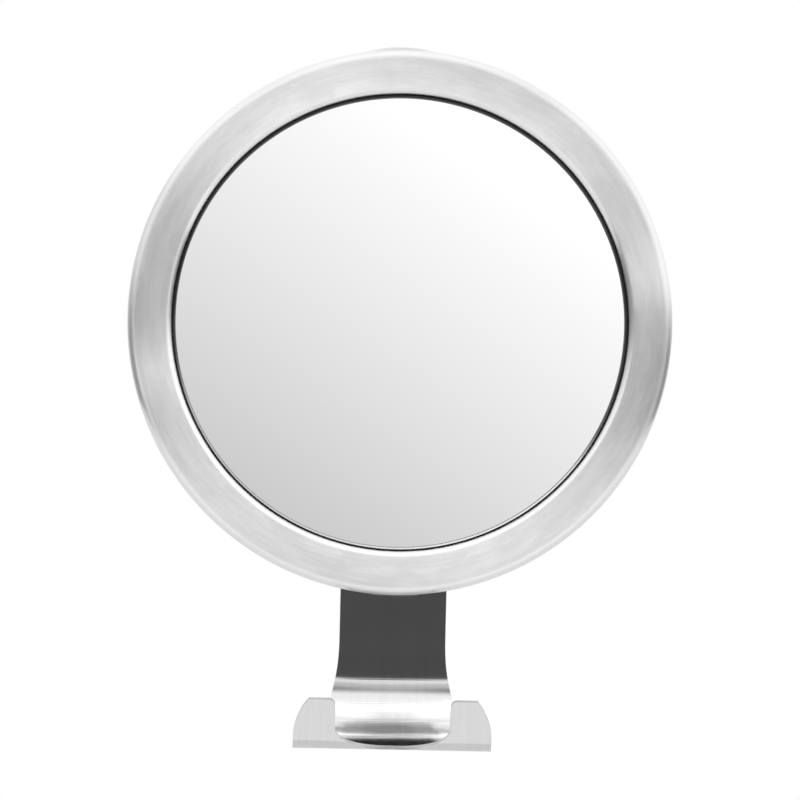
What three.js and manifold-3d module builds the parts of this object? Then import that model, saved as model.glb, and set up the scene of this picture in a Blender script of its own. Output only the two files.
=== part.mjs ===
// A round shower mirror with a razor hook, hung on a wall by a twist-lock suction mount.
//
// Millimetres, Z up. The wall is the plane y = 0, the mirror faces -Y and X points right.
// The origin is the centre of the suction cup's footprint. A depth is a distance from the
// wall, so a point at depth d has y = -d. The parts lie round the axis x = z = 0.

import * as THREE from 'three';
import { mergeVertices } from 'three/addons/utils/BufferGeometryUtils.js';
import Module from 'manifold-3d';

const wasm = await Module();
wasm.setup();

const degree = Math.PI / 180;
const quarterTurn = 90 * degree;
const halfTurn = 180 * degree;
const fullTurn = 360 * degree;

// Fits that all pieces share
const seatGap = 0.3; // between two pieces that rest on each other
const runGap = 0.25; // round what turns or slides
const holeGap = 0.2; // round a screw's shank
const overrun = 1; // how far a cutter passes the face that it cuts
const weldLap = 0.4; // how far a rib or boss reaches into the wall that carries it

// Mirror head: the steel ring's size drives the pane, the seal and the shell
const bezelRadius = 82.5;
const bezelWidth = 13.1; // from the ring's outer edge to the lip round the pane
const bezelDepth = 14;
const headDepth = 20; // from the shell's back to the crown of the steel ring

// Suction cup
const cupRadius = 38;
const cupSealWidth = 7;
const cupRim = 1.2;
const cupHollow = 2.8;
const cupHollowShare = 0.8; // of the hollow's height that is left under the boss's edge
const cupSkin = 1.5;
const cupKneeInset = 4; // bend in the cup's upper side, inside its edge
const cupKneeDepth = 2.2;
const cupBossWall = 2.7; // rubber round the stem's plate
const cupBossFoot = 7.2;
const cupBossLip = 1.2;
const cupTabWidth = 12;
const cupTabLength = 6;
const cupTabThickness = 1.6;

// Pull stem and cross pin
const stemPlateRadius = 10.5;
const stemPlateThickness = 1.8;
const stemRadius = 4;
const stemTravel = 2.5;
const stemEnd = 0.5; // stem left past the cross pin
const pinRadius = 1.5;
const pinEndGap = 1.1; // from the pin's end to the wall of the lever's groove

// Shape of a screw's domed head, as shares of its radius and height
const screwCrownShare = 0.6;
const screwRimShare = 0.45;

// Base bell
const bellFootOverhang = 1.5; // bell's edge outside the bend in the cup
const bellSkirt = 3;
const bellDeck = 3.3;
const bellShoulderRadius = 22;
const bellCupClearance = 0.8;
const neckRadius = 12;
const neckPastPin = 0.9;

// Twist lever
const leverRingRadius = 24;
const leverGrooveRadius = 17.5;
const leverFloor = 1.6;
const leverTurn = 90 * degree;
const rampLand = 10 * degree;
const leverShow = 8.5; // how far the tip reaches past the steel ring
const leverTipRadius = 39;
const leverTipWidth = 34;
const leverTipCorner = 11;
const leverRootWidth = 22;
const leverThickness = 5;
const leverFaceInset = 2.3; // paddle's front face behind the ring's front face
const gripRibs = 3;
const gripRibLength = 20;
const gripRibWidth = 1.4;
const gripRibHeight = 0.8;
const gripRibPitch = 4;
const gripRibFromTip = 6;

// Front cap and its screws
const capRadius = 19;
const capEdge = 1.6;
const capRecessRadius = 7.6;
const capRecess = 3.3;
const capWeb = 3.4;
const capScrews = 3;
const capScrewCircle = 9.9;
const capScrewHead = { radius: 2.3, height: 1.4 };
const capScrewShank = { radius: 1.1, length: 12 };

// Ball stud, nut and washer
const shankRadius = 3;
const collarRadius = 6;
const collarThickness = 1.6;
const studNeckRadius = 3.4;
const studNeckLength = 3.6;
const ballRadius = 8;
const washerRadius = 6.4;
const washerThickness = 0.6;
const nutAcrossFlats = 10;
const nutThickness = 2.6;
const jointSwing = 52 * degree; // half angle of the mouth that the stud's neck swings in

// Ball liner, socket and clamp ring
const linerWall = 1.5;
const linerSlot = 1;
const linerSlotPastCentre = 1;
const socketRadius = 12.4;
const socketPastCentre = 2;
const socketWeb = 1.7;
const socketFlangeRadius = 20.5;
const socketFlange = 3.2;
const socketScrews = 4;
const socketScrewCircle = 16.6;
const socketScrewHead = { radius: 2.6, height: 1.7 };
const socketScrewShank = { radius: 1.3, length: 8 };
const clampRadius = 16;
const clampBackRadius = 12.6;
const clampBackDepth = 8; // back face behind the ball's centre
const clampTaper = 3.5;
const clampFrontDepth = 5.5; // front face before the ball's centre
const clampFlutes = 12;
const clampFluteRadius = 1.8;
const clampFluteBite = 0.9;

// Rear shell
const shellFlatRadius = 42;
const shellDome = 7;
const shellRim = 3;
const shellWall = 2.2;
const shellPlay = 0.5;
const shellRibWidth = 1.6;
const shellHoopInset = 9; // hoop rib inside the foam pad's edge
const shellRibPastPad = 2;
const shellRibs = 6;
const shellBossRadius = 21.5;
const shellBossHeight = 9;
const shellScrews = 4;
const shellPillarRadius = 3.6;
const shellPillarFloor = 3.6; // plastic under the head of a shell screw
const shellScrewHead = { radius: 2.6, height: 1.8 };
const shellScrewShank = { radius: 1.4, length: 9 };
const strutPadWidth = 39;
const strutPadFloor = 3.6;
const strutPadTopMargin = 3;

// Steel ring
const bezelGauge = 0.8;
const bezelLipRoll = 2.4;
const bezelEdgeRoll = 2.2;
const bezelFaceSlope = 8 * degree;
const bezelFold = 2.6;

// Carrier ring
const carrierInnerWall = 1.5;
const carrierOuterWall = 1.5;
const carrierWeb = 1.6;
const carrierChamfer = 2;
const carrierBossRadius = 3.1;

// Pane, seal and pad
const paneTuck = 1.1; // how far the pane reaches under the ring's lip
const paneThickness = 3;
const paneBevel = 0.4;
const sealFlange = 0.6;
const sealWall = 0.7;
const sealSight = 1.25; // width of the seal that shows inside the ring's lip
const sealBeadHeight = 1.5;
const padThickness = 1.2;
const padInset = 1.15;

// Razor hook: a flat blank that is bent along its length
const hookGauge = 1.2;
const hookSeatLength = 35.2; // strip behind the rear shell
const hookDrop = 18.4; // from the steel ring's edge down to the start of the concave sweep
const hookSweepRadius = 26;
const hookSweep = 90 * degree;
const hookBendRadius = 3.5;
const hookBend = 75 * degree;
const hookLipLength = 12.9;
const hookStripWidth = 32.6;
const hookPlateWidth = 58.8;
const hookFlareRadius = 70;
const hookFlareLead = 3.5; // how far above the sweep the strip starts to widen
const hookTopCorner = 4;
const hookEarRadius = 20;
const hookEarFall = 12.6; // length of the rounded ear edge, measured back from the lip's end
const hookNotchWidth = 34;
const hookNotchRound = 7.9; // length of the notch's round bottom, along the sheet
const hookNotchPastBend = 0.4;
const hookNotchFillet = 2;
const hookNotchTip = 0.3; // half width of the notch's cutter where it starts
const hookBezelGap = 0.4;
const hookScrews = 2;
const hookScrewFromTop = 8;
const hookScrewPitch = 17;
const hookScrewHead = { radius: 3.3, height: 1.8 };
const hookScrewShank = { radius: 1.6, length: 4.6 };

// Sides of the round pieces, and steps along curves
const ringSides = 60;
const discSides = 44;
const cupSides = 36;
const smallSides = 22;
const pillarSides = 10;
const screwSides = 8;
const fluteSides = 6;
const nutSides = 6;
const rampSteps = 22;
const paddleSteps = 8;
const hookCornerSteps = 3;
const notchBottomSteps = 10;
const notchMouthSteps = 4;
const stationGap = 0.06; // stations on the hook that lie closer than this are one

// The screws of the shell and of the socket stand on the diagonals
const diagonal = 45 * degree;

// Radii and heights that follow from the sizes above
const bezelLipRadius = bezelRadius - bezelWidth;
const sealSightRadius = bezelLipRadius - sealSight;
const paneRadius = bezelLipRadius + paneTuck;
const padRadius = sealSightRadius - padInset;
const carrierInnerRadius = paneRadius + sealWall + 2 * seatGap;
const carrierOuterRadius = bezelRadius - bezelGauge - seatGap;
const shellRadius = bezelRadius - bezelGauge - shellPlay;
const shellRibOuter = padRadius + shellRibPastPad;
const shellRibCircle = padRadius - shellHoopInset;
const shellScrewCircle = (carrierInnerRadius + carrierOuterRadius) / 2;
const leverReach = bezelRadius + leverShow;
const hookTop = hookSeatLength - shellRadius;
const hookSweepStart = -bezelRadius - hookDrop;

const cupKneeRadius = cupRadius - cupKneeInset;
const cupBossRadius = stemPlateRadius + seatGap + cupBossWall;
const bellRadius = cupKneeRadius + bellFootOverhang;
const pinLength = 2 * (leverGrooveRadius - pinEndGap);

// Depths that follow from the sizes above, from the wall outwards
const pocketFloorDepth = cupHollow + cupSkin;
const pocketTopDepth = pocketFloorDepth + stemPlateThickness + stemTravel + 2 * seatGap;
const cupTopDepth = pocketTopDepth + cupBossLip;
const plateTopDepth = pocketTopDepth - seatGap;
const plateDepth = plateTopDepth - stemPlateThickness;
const bellRimDepth = cupKneeDepth + seatGap;
const bellCeilingDepth = cupTopDepth + seatGap;
const bellTopDepth = bellCeilingDepth + bellDeck;
const leverBackDepth = bellTopDepth + seatGap;
const rampLowDepth = leverBackDepth + leverFloor;
const rampHighDepth = rampLowDepth + stemTravel;
const pinDepth = rampHighDepth + seatGap + pinRadius;
const stemTopDepth = pinDepth + pinRadius + stemEnd;
const neckTopDepth = pinDepth + pinRadius + neckPastPin;
const capBackDepth = neckTopDepth + seatGap;
const capWebDepth = capBackDepth + capRecess;
const capFrontDepth = capWebDepth + capWeb;
const nutFrontDepth = capWebDepth - seatGap;
const nutBackDepth = nutFrontDepth - nutThickness;
const washerDepth = capFrontDepth + seatGap;
const collarDepth = washerDepth + washerThickness + seatGap;
const collarFrontDepth = collarDepth + collarThickness;
const ballDepth = collarFrontDepth + studNeckLength + ballRadius;
const linerBore = ballRadius + runGap;
const linerRadius = linerBore + linerWall;
const socketBore = linerRadius + runGap;
const socketBackDepth = ballDepth - socketPastCentre;
const socketFrontDepth = ballDepth + socketBore + socketWeb;
const shellBackDepth = socketFrontDepth + seatGap;
const shellRimDepth = shellBackDepth + shellDome;
const shellFrontDepth = shellRimDepth + shellRim;
const bezelFrontDepth = shellBackDepth + headDepth;
const bezelBackDepth = bezelFrontDepth - bezelDepth;
const foldDepth = bezelFrontDepth - bezelFold;
const sealFrontDepth = foldDepth - seatGap;
const sealFlangeDepth = sealFrontDepth - sealFlange;
const paneFrontDepth = sealFlangeDepth - seatGap;
const paneBackDepth = paneFrontDepth - paneThickness;
const padFrontDepth = paneBackDepth - seatGap;
const padBackDepth = padFrontDepth - padThickness;
const ribTopDepth = padBackDepth - seatGap;
const hookMidDepth = bezelBackDepth - hookBezelGap - hookGauge / 2;
const hookSeatDepth = hookMidDepth + hookGauge / 2 + seatGap;

// Turns a geometry into a solid that can be joined and cut
function toSolid(geometry) {
  const bare = geometry.clone();
  bare.deleteAttribute('normal');
  bare.deleteAttribute('uv');
  const merged = mergeVertices(bare);
  const points = merged.attributes.position;
  const corners = [];
  let volume = 0;
  for (let i = 0; i < merged.index.count; i += 3) {
    const [a, b, c] = [0, 1, 2].map((k) => merged.index.getX(i + k));
    if (a === b || b === c || c === a) continue;
    corners.push(a, b, c);
    const [p, q, r] = [a, b, c].map((k) => new THREE.Vector3().fromBufferAttribute(points, k));
    volume += p.dot(q.cross(r));
  }
  if (volume < 0) corners.reverse();
  const vertProperties = Float32Array.from(points.array);
  const triVerts = Uint32Array.from(corners);
  return new wasm.Manifold(new wasm.Mesh({ numProp: 3, vertProperties, triVerts }));
}

// Turns a solid back into a geometry
function toGeometry(solid) {
  const mesh = solid.getMesh();
  const indexed = new THREE.BufferGeometry();
  indexed.setAttribute('position', new THREE.BufferAttribute(mesh.vertProperties, 3));
  indexed.setIndex(new THREE.BufferAttribute(mesh.triVerts, 1));
  const geometry = indexed.toNonIndexed();
  geometry.computeVertexNormals();
  return geometry;
}

// Revolves an outline of [radius, depth] points round the wall axis
function turned(outline, sides) {
  const points = outline.map(([radius, depth]) => new THREE.Vector2(radius, -depth));
  return toSolid(new THREE.LatheGeometry(points, sides));
}

// A tube or washer between two radii and two depths
function ring(innerRadius, outerRadius, backDepth, frontDepth, sides) {
  const outline = [
    [innerRadius, backDepth],
    [outerRadius, backDepth],
    [outerRadius, frontDepth],
    [innerRadius, frontDepth],
    [innerRadius, backDepth],
  ];
  return turned(outline, sides);
}

// A round rod along the depth, at x and z
function rod(radius, backDepth, frontDepth, x = 0, z = 0, sides = screwSides) {
  const length = frontDepth - backDepth;
  const geometry = new THREE.CylinderGeometry(radius, radius, length, sides);
  return toSolid(geometry.translate(x, -(backDepth + frontDepth) / 2, z));
}

// A block between two depths, centred at x and z
function block(width, height, backDepth, frontDepth, x = 0, z = 0) {
  const geometry = new THREE.BoxGeometry(width, frontDepth - backDepth, height);
  return toSolid(geometry.translate(x, -(backDepth + frontDepth) / 2, z));
}

// A shape drawn in the front view (x right, y up), given thickness along the depth
function plate(shape, backDepth, thickness, curveSegments) {
  const options = { depth: thickness, bevelEnabled: false, curveSegments };
  const geometry = new THREE.ExtrudeGeometry(shape, options);
  return toSolid(geometry.translate(0, 0, backDepth).rotateX(quarterTurn));
}

// Points on an arc in the [radius, depth] plane; angle 0 points outwards, a quarter turn to the front
function arc(centreRadius, centreDepth, radius, from, to, steps) {
  const points = [];
  for (let i = 0; i <= steps; i += 1) {
    const angle = from + ((to - from) * i) / steps;
    points.push([centreRadius + radius * Math.cos(angle), centreDepth + radius * Math.sin(angle)]);
  }
  return points;
}

// Places spaced evenly on a circle in the front view
function aroundAxis(count, radius, firstAngle = 0) {
  const places = [];
  for (let i = 0; i < count; i += 1) {
    const angle = firstAngle + (fullTurn * i) / count;
    places.push({ x: radius * Math.cos(angle), z: radius * Math.sin(angle), angle });
  }
  return places;
}

// A solid through a row of sections that all have the same number of corners
function throughSections(sections) {
  const corners = sections[0].length;
  const faces = [];
  for (let i = 0; i < sections.length - 1; i += 1) {
    for (let k = 0; k < corners; k += 1) {
      const a = corners * i + k;
      const b = corners * i + ((k + 1) % corners);
      faces.push(a, a + corners, b, b, a + corners, b + corners);
    }
  }
  const end = corners * (sections.length - 1);
  for (let k = 1; k < corners - 1; k += 1) {
    faces.push(0, k, k + 1, end, end + k + 1, end + k);
  }
  const geometry = new THREE.BufferGeometry();
  geometry.setAttribute('position', new THREE.Float32BufferAttribute(sections.flat(2), 3));
  geometry.setIndex(faces);
  return toSolid(geometry);
}

function united(solids) {
  return solids.reduce((whole, next) => whole.add(next));
}

// Suction cup: a soft dish that seals on the wall by its flat rim. The boss in its middle holds
// the stem's plate in a pocket, with room for the stem's travel.
function suctionCup() {
  const outline = [
    [0, cupHollow],
    [cupBossRadius, cupHollow * cupHollowShare],
    [cupRadius - cupSealWidth, 0],
    [cupRadius, 0],
    [cupRadius, cupRim],
    [cupKneeRadius, cupKneeDepth],
    [cupBossRadius + cupBossLip, cupBossFoot],
    [cupBossRadius, cupBossFoot + cupBossLip],
    [cupBossRadius, cupTopDepth],
    [stemRadius + cupBossLip, cupTopDepth],
    [stemRadius + cupBossLip, pocketTopDepth],
    [stemPlateRadius + seatGap, pocketTopDepth],
    [stemPlateRadius + seatGap, pocketFloorDepth],
    [0, pocketFloorDepth],
  ];
  const tabHeight = cupRadius + (cupTabLength - cupSealWidth) / 2;
  const tab = block(cupTabWidth, cupTabLength + cupSealWidth, 0, cupTabThickness, 0, -tabHeight);
  const underBell = rod(cupKneeRadius, -overrun, cupTabThickness + overrun, 0, 0, cupSides);
  return turned(outline, cupSides).add(tab.subtract(underBell));
}

// Base bell: presses the cup on the wall and carries the lever's neck. The neck is slotted for
// the cross pin and drilled for the screws of the front cap.
function baseBell() {
  const domeRise = bellTopDepth - bellRimDepth - bellSkirt;
  const domeRun = bellRadius - bellShoulderRadius;
  const dome = arc(0, 0, 1, 0, quarterTurn, 4).map(([across, up]) => [
    bellShoulderRadius + domeRun * across,
    bellRimDepth + bellSkirt + domeRise * up,
  ]);
  const outline = [
    [stemRadius + runGap, bellCeilingDepth],
    [cupBossRadius + bellCupClearance, bellCeilingDepth],
    [cupBossRadius + bellCupClearance, cupBossFoot + cupBossLip + bellCupClearance],
    [cupKneeRadius - bellCupClearance, bellRimDepth + bellCupClearance],
    [cupKneeRadius - bellCupClearance, bellRimDepth],
    [bellRadius, bellRimDepth],
    ...dome,
    [neckRadius, bellTopDepth],
    [neckRadius, neckTopDepth],
    [stemRadius + runGap, neckTopDepth],
    [stemRadius + runGap, bellCeilingDepth],
  ];
  const slotBackDepth = pinDepth - stemTravel - pinRadius - seatGap;
  const slotWidth = 2 * (pinRadius + runGap);
  const slot = block(2 * (neckRadius + overrun), slotWidth, slotBackDepth, neckTopDepth + overrun);
  const screwEnd = capFrontDepth - capScrewHead.height - capScrewShank.length - seatGap;
  const holes = aroundAxis(capScrews, capScrewCircle, quarterTurn).map(({ x, z }) =>
    rod(capScrewShank.radius + holeGap, screwEnd, neckTopDepth + overrun, x, z));
  return turned(outline, cupSides).subtract(united([slot, ...holes]));
}

// Outline of the lever's paddle in the front view: it widens from the ring to a rounded tip
function paddleShape() {
  const rootHeight = (neckRadius + leverGrooveRadius) / 2;
  const root = leverRootWidth / 2;
  const tip = leverTipWidth / 2;
  const tipCentre = leverReach - leverTipRadius;
  const arcHalf = Math.asin((tip - leverTipCorner / 2) / leverTipRadius);
  const arcEnd = tipCentre + leverTipRadius * Math.cos(arcHalf);
  const shape = new THREE.Shape();
  shape.moveTo(-root, rootHeight);
  shape.quadraticCurveTo(-root, (rootHeight + arcEnd) / 2, -tip, arcEnd - leverTipCorner);
  shape.quadraticCurveTo(-tip, arcEnd, -tip + leverTipCorner / 2, arcEnd);
  shape.absarc(0, tipCentre, leverTipRadius, quarterTurn + arcHalf, quarterTurn - arcHalf, true);
  shape.quadraticCurveTo(tip, arcEnd, tip, arcEnd - leverTipCorner);
  shape.quadraticCurveTo(root, (rootHeight + arcEnd) / 2, root, rootHeight);
  return shape;
}

// One ramp inside the lever's ring: a wedge that winds round the neck, high where the lever is
// locked and level with the ring's floor where it is released
function ramp(startAngle) {
  const innerRadius = neckRadius + runGap;
  const outerRadius = leverGrooveRadius + weldLap;
  const bottom = rampLowDepth - weldLap;
  const span = leverTurn + 2 * rampLand;
  const sections = [];
  for (let i = 0; i <= rampSteps; i += 1) {
    const turn = -rampLand + (span * i) / rampSteps;
    const fall = Math.min(Math.max(turn / leverTurn, 0), 1);
    const top = rampHighDepth - stemTravel * fall;
    const angle = startAngle + turn;
    const corners = [[innerRadius, bottom], [outerRadius, bottom], [outerRadius, top], [innerRadius, top]];
    sections.push(corners.map(([radius, depth]) =>
      [radius * Math.cos(angle), -depth, radius * Math.sin(angle)]));
  }
  return throughSections(sections);
}

// Twist lever: a ring that turns on the neck, with two ramps under the cross pin's ends and a
// long paddle whose tip shows over the mirror
function twistLever() {
  const bore = neckRadius + runGap;
  const outline = [
    [bore, leverBackDepth],
    [leverRingRadius, leverBackDepth],
    [leverRingRadius, neckTopDepth - weldLap],
    [leverRingRadius - weldLap, neckTopDepth],
    [leverGrooveRadius, neckTopDepth],
    [leverGrooveRadius, rampLowDepth],
    [bore, rampLowDepth],
    [bore, leverBackDepth],
  ];
  const paddleFrontDepth = neckTopDepth - leverFaceInset;
  const paddle = plate(paddleShape(), paddleFrontDepth - leverThickness, leverThickness, paddleSteps);
  const ribs = Array.from({ length: gripRibs }, (_, i) => {
    const height = leverReach - gripRibFromTip - i * gripRibPitch;
    const frontDepth = paddleFrontDepth + gripRibHeight;
    return block(gripRibLength, gripRibWidth, paddleFrontDepth - weldLap, frontDepth, 0, height);
  });
  const core = rod(leverGrooveRadius + weldLap, 0, capFrontDepth, 0, 0, cupSides);
  const ramps = [ramp(0), ramp(halfTurn)];
  return turned(outline, cupSides).add(united([paddle, ...ribs]).subtract(core)).add(united(ramps));
}

// Pull stem: a plate in the cup's pocket on a shaft that carries the cross pin
function pullStem() {
  const outline = [
    [0, plateDepth],
    [stemPlateRadius, plateDepth],
    [stemPlateRadius, plateTopDepth],
    [stemRadius, plateTopDepth],
    [stemRadius, stemTopDepth],
    [0, stemTopDepth],
  ];
  return turned(outline, smallSides).subtract(acrossRod(pinRadius + holeGap, 2 * (stemRadius + overrun)));
}

// A rod along X at the cross pin's place
function acrossRod(radius, length) {
  const geometry = new THREE.CylinderGeometry(radius, radius, length, screwSides);
  return toSolid(geometry.rotateZ(quarterTurn).translate(0, -pinDepth, 0));
}

// Front cap: closes the neck, keeps the lever on it and holds the ball stud
function frontCap() {
  const outline = [
    [capRecessRadius, capBackDepth],
    [capRadius, capBackDepth],
    ...arc(capRadius - capEdge, capFrontDepth - capEdge, capEdge, 0, quarterTurn, 2),
    [shankRadius + runGap, capFrontDepth],
    [shankRadius + runGap, capWebDepth],
    [capRecessRadius, capWebDepth],
    [capRecessRadius, capBackDepth],
  ];
  const seatDepth = capFrontDepth - capScrewHead.height - seatGap;
  const cuts = aroundAxis(capScrews, capScrewCircle, quarterTurn).flatMap(({ x, z }) => [
    rod(capScrewShank.radius + holeGap, capBackDepth - overrun, seatDepth + overrun, x, z),
    rod(capScrewHead.radius + holeGap, seatDepth, capFrontDepth + overrun, x, z),
  ]);
  return turned(outline, smallSides).subtract(united(cuts));
}

// Ball stud: shank in the cap, collar on the washer, waisted neck and ball
function ballStud() {
  const neckAngle = Math.asin(studNeckRadius / ballRadius);
  const outline = [
    [0, nutBackDepth],
    [shankRadius, nutBackDepth],
    [shankRadius, collarDepth],
    [collarRadius, collarDepth],
    [collarRadius, collarFrontDepth],
    [studNeckRadius, collarFrontDepth + collarRadius - studNeckRadius],
    ...arc(0, ballDepth, ballRadius, -quarterTurn + neckAngle, quarterTurn, 8),
  ];
  outline[outline.length - 1][0] = 0;
  return turned(outline, smallSides);
}

function hexNut() {
  const cornerRadius = nutAcrossFlats / 2 / Math.cos(halfTurn / nutSides);
  const body = rod(cornerRadius, nutBackDepth, nutFrontDepth, 0, 0, nutSides);
  return body.subtract(rod(shankRadius + holeGap, 0, capFrontDepth, 0, 0, smallSides));
}

// Ball liner: a slit plastic bowl round the ball
function ballLiner() {
  const mouth = -quarterTurn + jointSwing;
  const inner = arc(0, ballDepth, linerBore, quarterTurn, mouth, 6);
  const outer = arc(0, ballDepth, linerRadius, mouth, quarterTurn, 6);
  inner[0][0] = 0;
  outer[outer.length - 1][0] = 0;
  const slotFrontDepth = ballDepth + linerSlotPastCentre;
  const slotLength = 2 * (linerRadius + overrun);
  const back = ballDepth - linerRadius - overrun;
  const slots = [
    block(slotLength, linerSlot, back, slotFrontDepth),
    block(linerSlot, slotLength, back, slotFrontDepth),
  ];
  return turned([...inner, ...outer], smallSides).subtract(united(slots));
}

// Ball socket: a threaded cup on a flange that is screwed to the rear shell
function ballSocket() {
  const bore = arc(0, ballDepth, socketBore, quarterTurn, 0, 4);
  bore[0][0] = 0;
  const flangeDepth = socketFrontDepth - socketFlange;
  const outline = [
    ...bore,
    [socketBore, socketBackDepth],
    [socketRadius, socketBackDepth],
    [socketRadius, flangeDepth],
    [socketFlangeRadius, flangeDepth],
    [socketFlangeRadius, socketFrontDepth],
    [0, socketFrontDepth],
  ];
  const holes = aroundAxis(socketScrews, socketScrewCircle, diagonal).map(({ x, z }) =>
    rod(socketScrewShank.radius + holeGap, flangeDepth - overrun, shellBackDepth, x, z));
  return turned(outline, smallSides).subtract(united(holes));
}

// Clamp ring: screws on the socket and squeezes the liner on the ball; its rim is fluted for grip
function clampRing() {
  const lipRadius = linerRadius + seatGap;
  const shoulderDepth = socketBackDepth - seatGap;
  const shoulderAngle = Math.asin((shoulderDepth - ballDepth) / lipRadius);
  const mouthAngle = -quarterTurn + jointSwing;
  const backDepth = ballDepth - clampBackDepth;
  const frontDepth = ballDepth + clampFrontDepth;
  const bore = socketRadius + runGap;
  const outline = [
    ...arc(0, ballDepth, lipRadius, shoulderAngle, mouthAngle, 3),
    [clampBackDepth * Math.tan(jointSwing), backDepth],
    [clampBackRadius, backDepth],
    [clampRadius, backDepth + clampTaper],
    [clampRadius, frontDepth],
    [bore, frontDepth],
    [bore, shoulderDepth],
  ];
  outline.push(outline[0]);
  const fluteCircle = clampRadius + clampFluteRadius - clampFluteBite;
  const flutes = aroundAxis(clampFlutes, fluteCircle).map(({ x, z }) =>
    rod(clampFluteRadius, backDepth - overrun, frontDepth + overrun, x, z, fluteSides));
  return turned(outline, 2 * clampFlutes).subtract(united(flutes));
}

// Outer or inner line of the rear shell, from the axis to the rim
function shellLine(wall) {
  const dome = arc(0, 0, 1, -quarterTurn, 0, 5).map(([across, up]) => [
    shellFlatRadius + (shellRadius - wall - shellFlatRadius) * across,
    shellRimDepth + (shellDome - wall) * up,
  ]);
  return [[0, shellBackDepth + wall], ...dome, [shellRadius - wall, shellFrontDepth]];
}

// Rear shell: a moulded dish with a boss for the ball socket, ribs that back the pane, pillars
// for its screws and a sunk seat for the hook's strip
function rearShell() {
  const dish = turned([...shellLine(0), ...shellLine(shellWall).reverse()], discSides);
  const tall = ribTopDepth;
  const hoop = ring(shellRibCircle, shellRibCircle + shellRibWidth, shellBackDepth, tall, discSides);
  const ribLength = shellRibOuter - shellBossRadius + overrun;
  const ribs = aroundAxis(shellRibs, (shellRibOuter + shellBossRadius) / 2).map(({ x, z, angle }) =>
    block(ribLength, shellRibWidth, shellBackDepth, tall)
      .rotate([0, -angle / degree, 0]).translate([x, 0, z]));
  const boss = rod(shellBossRadius, shellBackDepth, shellBackDepth + shellBossHeight, 0, 0, smallSides);
  const pillars = screwPlaces().map(({ x, z }) =>
    rod(shellPillarRadius, shellBackDepth, shellFrontDepth, x, z, pillarSides));
  const padHeight = shellRadius + hookTop + strutPadTopMargin;
  const padCentre = -shellRadius + padHeight / 2;
  const padFrontDepth = hookSeatDepth + strutPadFloor;
  const pad = block(strutPadWidth, padHeight, shellBackDepth, padFrontDepth, 0, padCentre);
  const behind = turned(
    [[0, shellBackDepth - overrun], [shellRadius + overrun, shellBackDepth - overrun],
      [shellRadius + overrun, shellFrontDepth], ...shellLine(weldLap).reverse().slice(0, -1),
      [0, shellBackDepth + weldLap]],
    discSides,
  );
  const inside = united([hoop, ...ribs, boss, ...pillars, pad]).subtract(behind);
  const outside = ring(shellRadius - weldLap, 2 * shellRadius, 0, bezelFrontDepth, discSides);
  return dish.add(inside.subtract(outside)).subtract(united(shellCuts()));
}

// Places of the screws that hold the rear shell to the carrier ring
function screwPlaces() {
  return aroundAxis(shellScrews, shellScrewCircle, diagonal);
}

// Heights of the screws that hold the hook
function hookScrewHeights() {
  return Array.from({ length: hookScrews }, (_, i) => hookTop - hookScrewFromTop - i * hookScrewPitch);
}

// What is cut out of the rear shell
function shellCuts() {
  const headSeat = shellFrontDepth - shellPillarFloor;
  const pillarCuts = screwPlaces().flatMap(({ x, z }) => [
    rod(shellScrewShank.radius + holeGap, 0, shellFrontDepth + overrun, x, z),
    rod(shellScrewHead.radius + holeGap, shellBackDepth - overrun, headSeat, x, z),
  ]);
  const screwDepth = socketFrontDepth - socketFlange + socketScrewShank.length;
  const socketHoles = aroundAxis(socketScrews, socketScrewCircle, diagonal).map(({ x, z }) =>
    rod(socketScrewShank.radius + holeGap, shellBackDepth - overrun, screwDepth, x, z));
  const seatHeight = shellRadius + hookTop + seatGap;
  const seatCentre = hookTop + seatGap - (seatHeight + overrun) / 2;
  const seatWidth = hookStripWidth + 2 * seatGap;
  const seat = block(seatWidth, seatHeight + overrun, shellBackDepth - overrun, hookSeatDepth, 0, seatCentre);
  const hookHoles = hookScrewHeights().map((z) =>
    rod(hookScrewShank.radius + holeGap, 0, hookScrewDepth() + hookScrewShank.length + seatGap, 0, z));
  return [...pillarCuts, ...socketHoles, seat, ...hookHoles];
}

// Outer line of the steel ring's section, moved inwards by inset, from the lip's fold to the skirt
function bezelLine(inset, steps) {
  const lipCentre = bezelLipRadius + bezelLipRoll;
  const edgeCentre = bezelRadius - bezelEdgeRoll;
  const slope = bezelFaceSlope;
  const faceHalf = (edgeCentre - lipCentre + (bezelEdgeRoll + bezelLipRoll) * Math.sin(slope)) / 2;
  const faceRadius = faceHalf / Math.sin(slope);
  const faceFall = faceRadius * (1 - Math.cos(slope));
  const faceEndDepth = bezelFrontDepth - faceFall;
  const faceCentre = lipCentre - bezelLipRoll * Math.sin(slope) + faceHalf;
  const lipCentreDepth = faceEndDepth - bezelLipRoll * Math.cos(slope);
  const edgeCentreDepth = faceEndDepth - bezelEdgeRoll * Math.cos(slope);
  const lip = arc(lipCentre, lipCentreDepth, bezelLipRoll - inset, halfTurn, quarterTurn + slope, steps);
  const face = arc(faceCentre, bezelFrontDepth - faceRadius, faceRadius - inset,
    quarterTurn + slope, quarterTurn - slope, steps);
  const edge = arc(edgeCentre, edgeCentreDepth, bezelEdgeRoll - inset, quarterTurn - slope, 0, steps);
  return [
    [bezelLipRadius + inset, foldDepth],
    ...lip,
    ...face.slice(1, -1),
    ...edge,
    [bezelRadius - inset, bezelBackDepth],
  ];
}

// Steel ring: one pressed sheet with a rolled lip, a crowned face and a rolled edge
function bezelRing() {
  const outline = [...bezelLine(0, 3), ...bezelLine(bezelGauge, 1).reverse()];
  outline.push(outline[0]);
  return turned(outline, ringSides);
}

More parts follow.
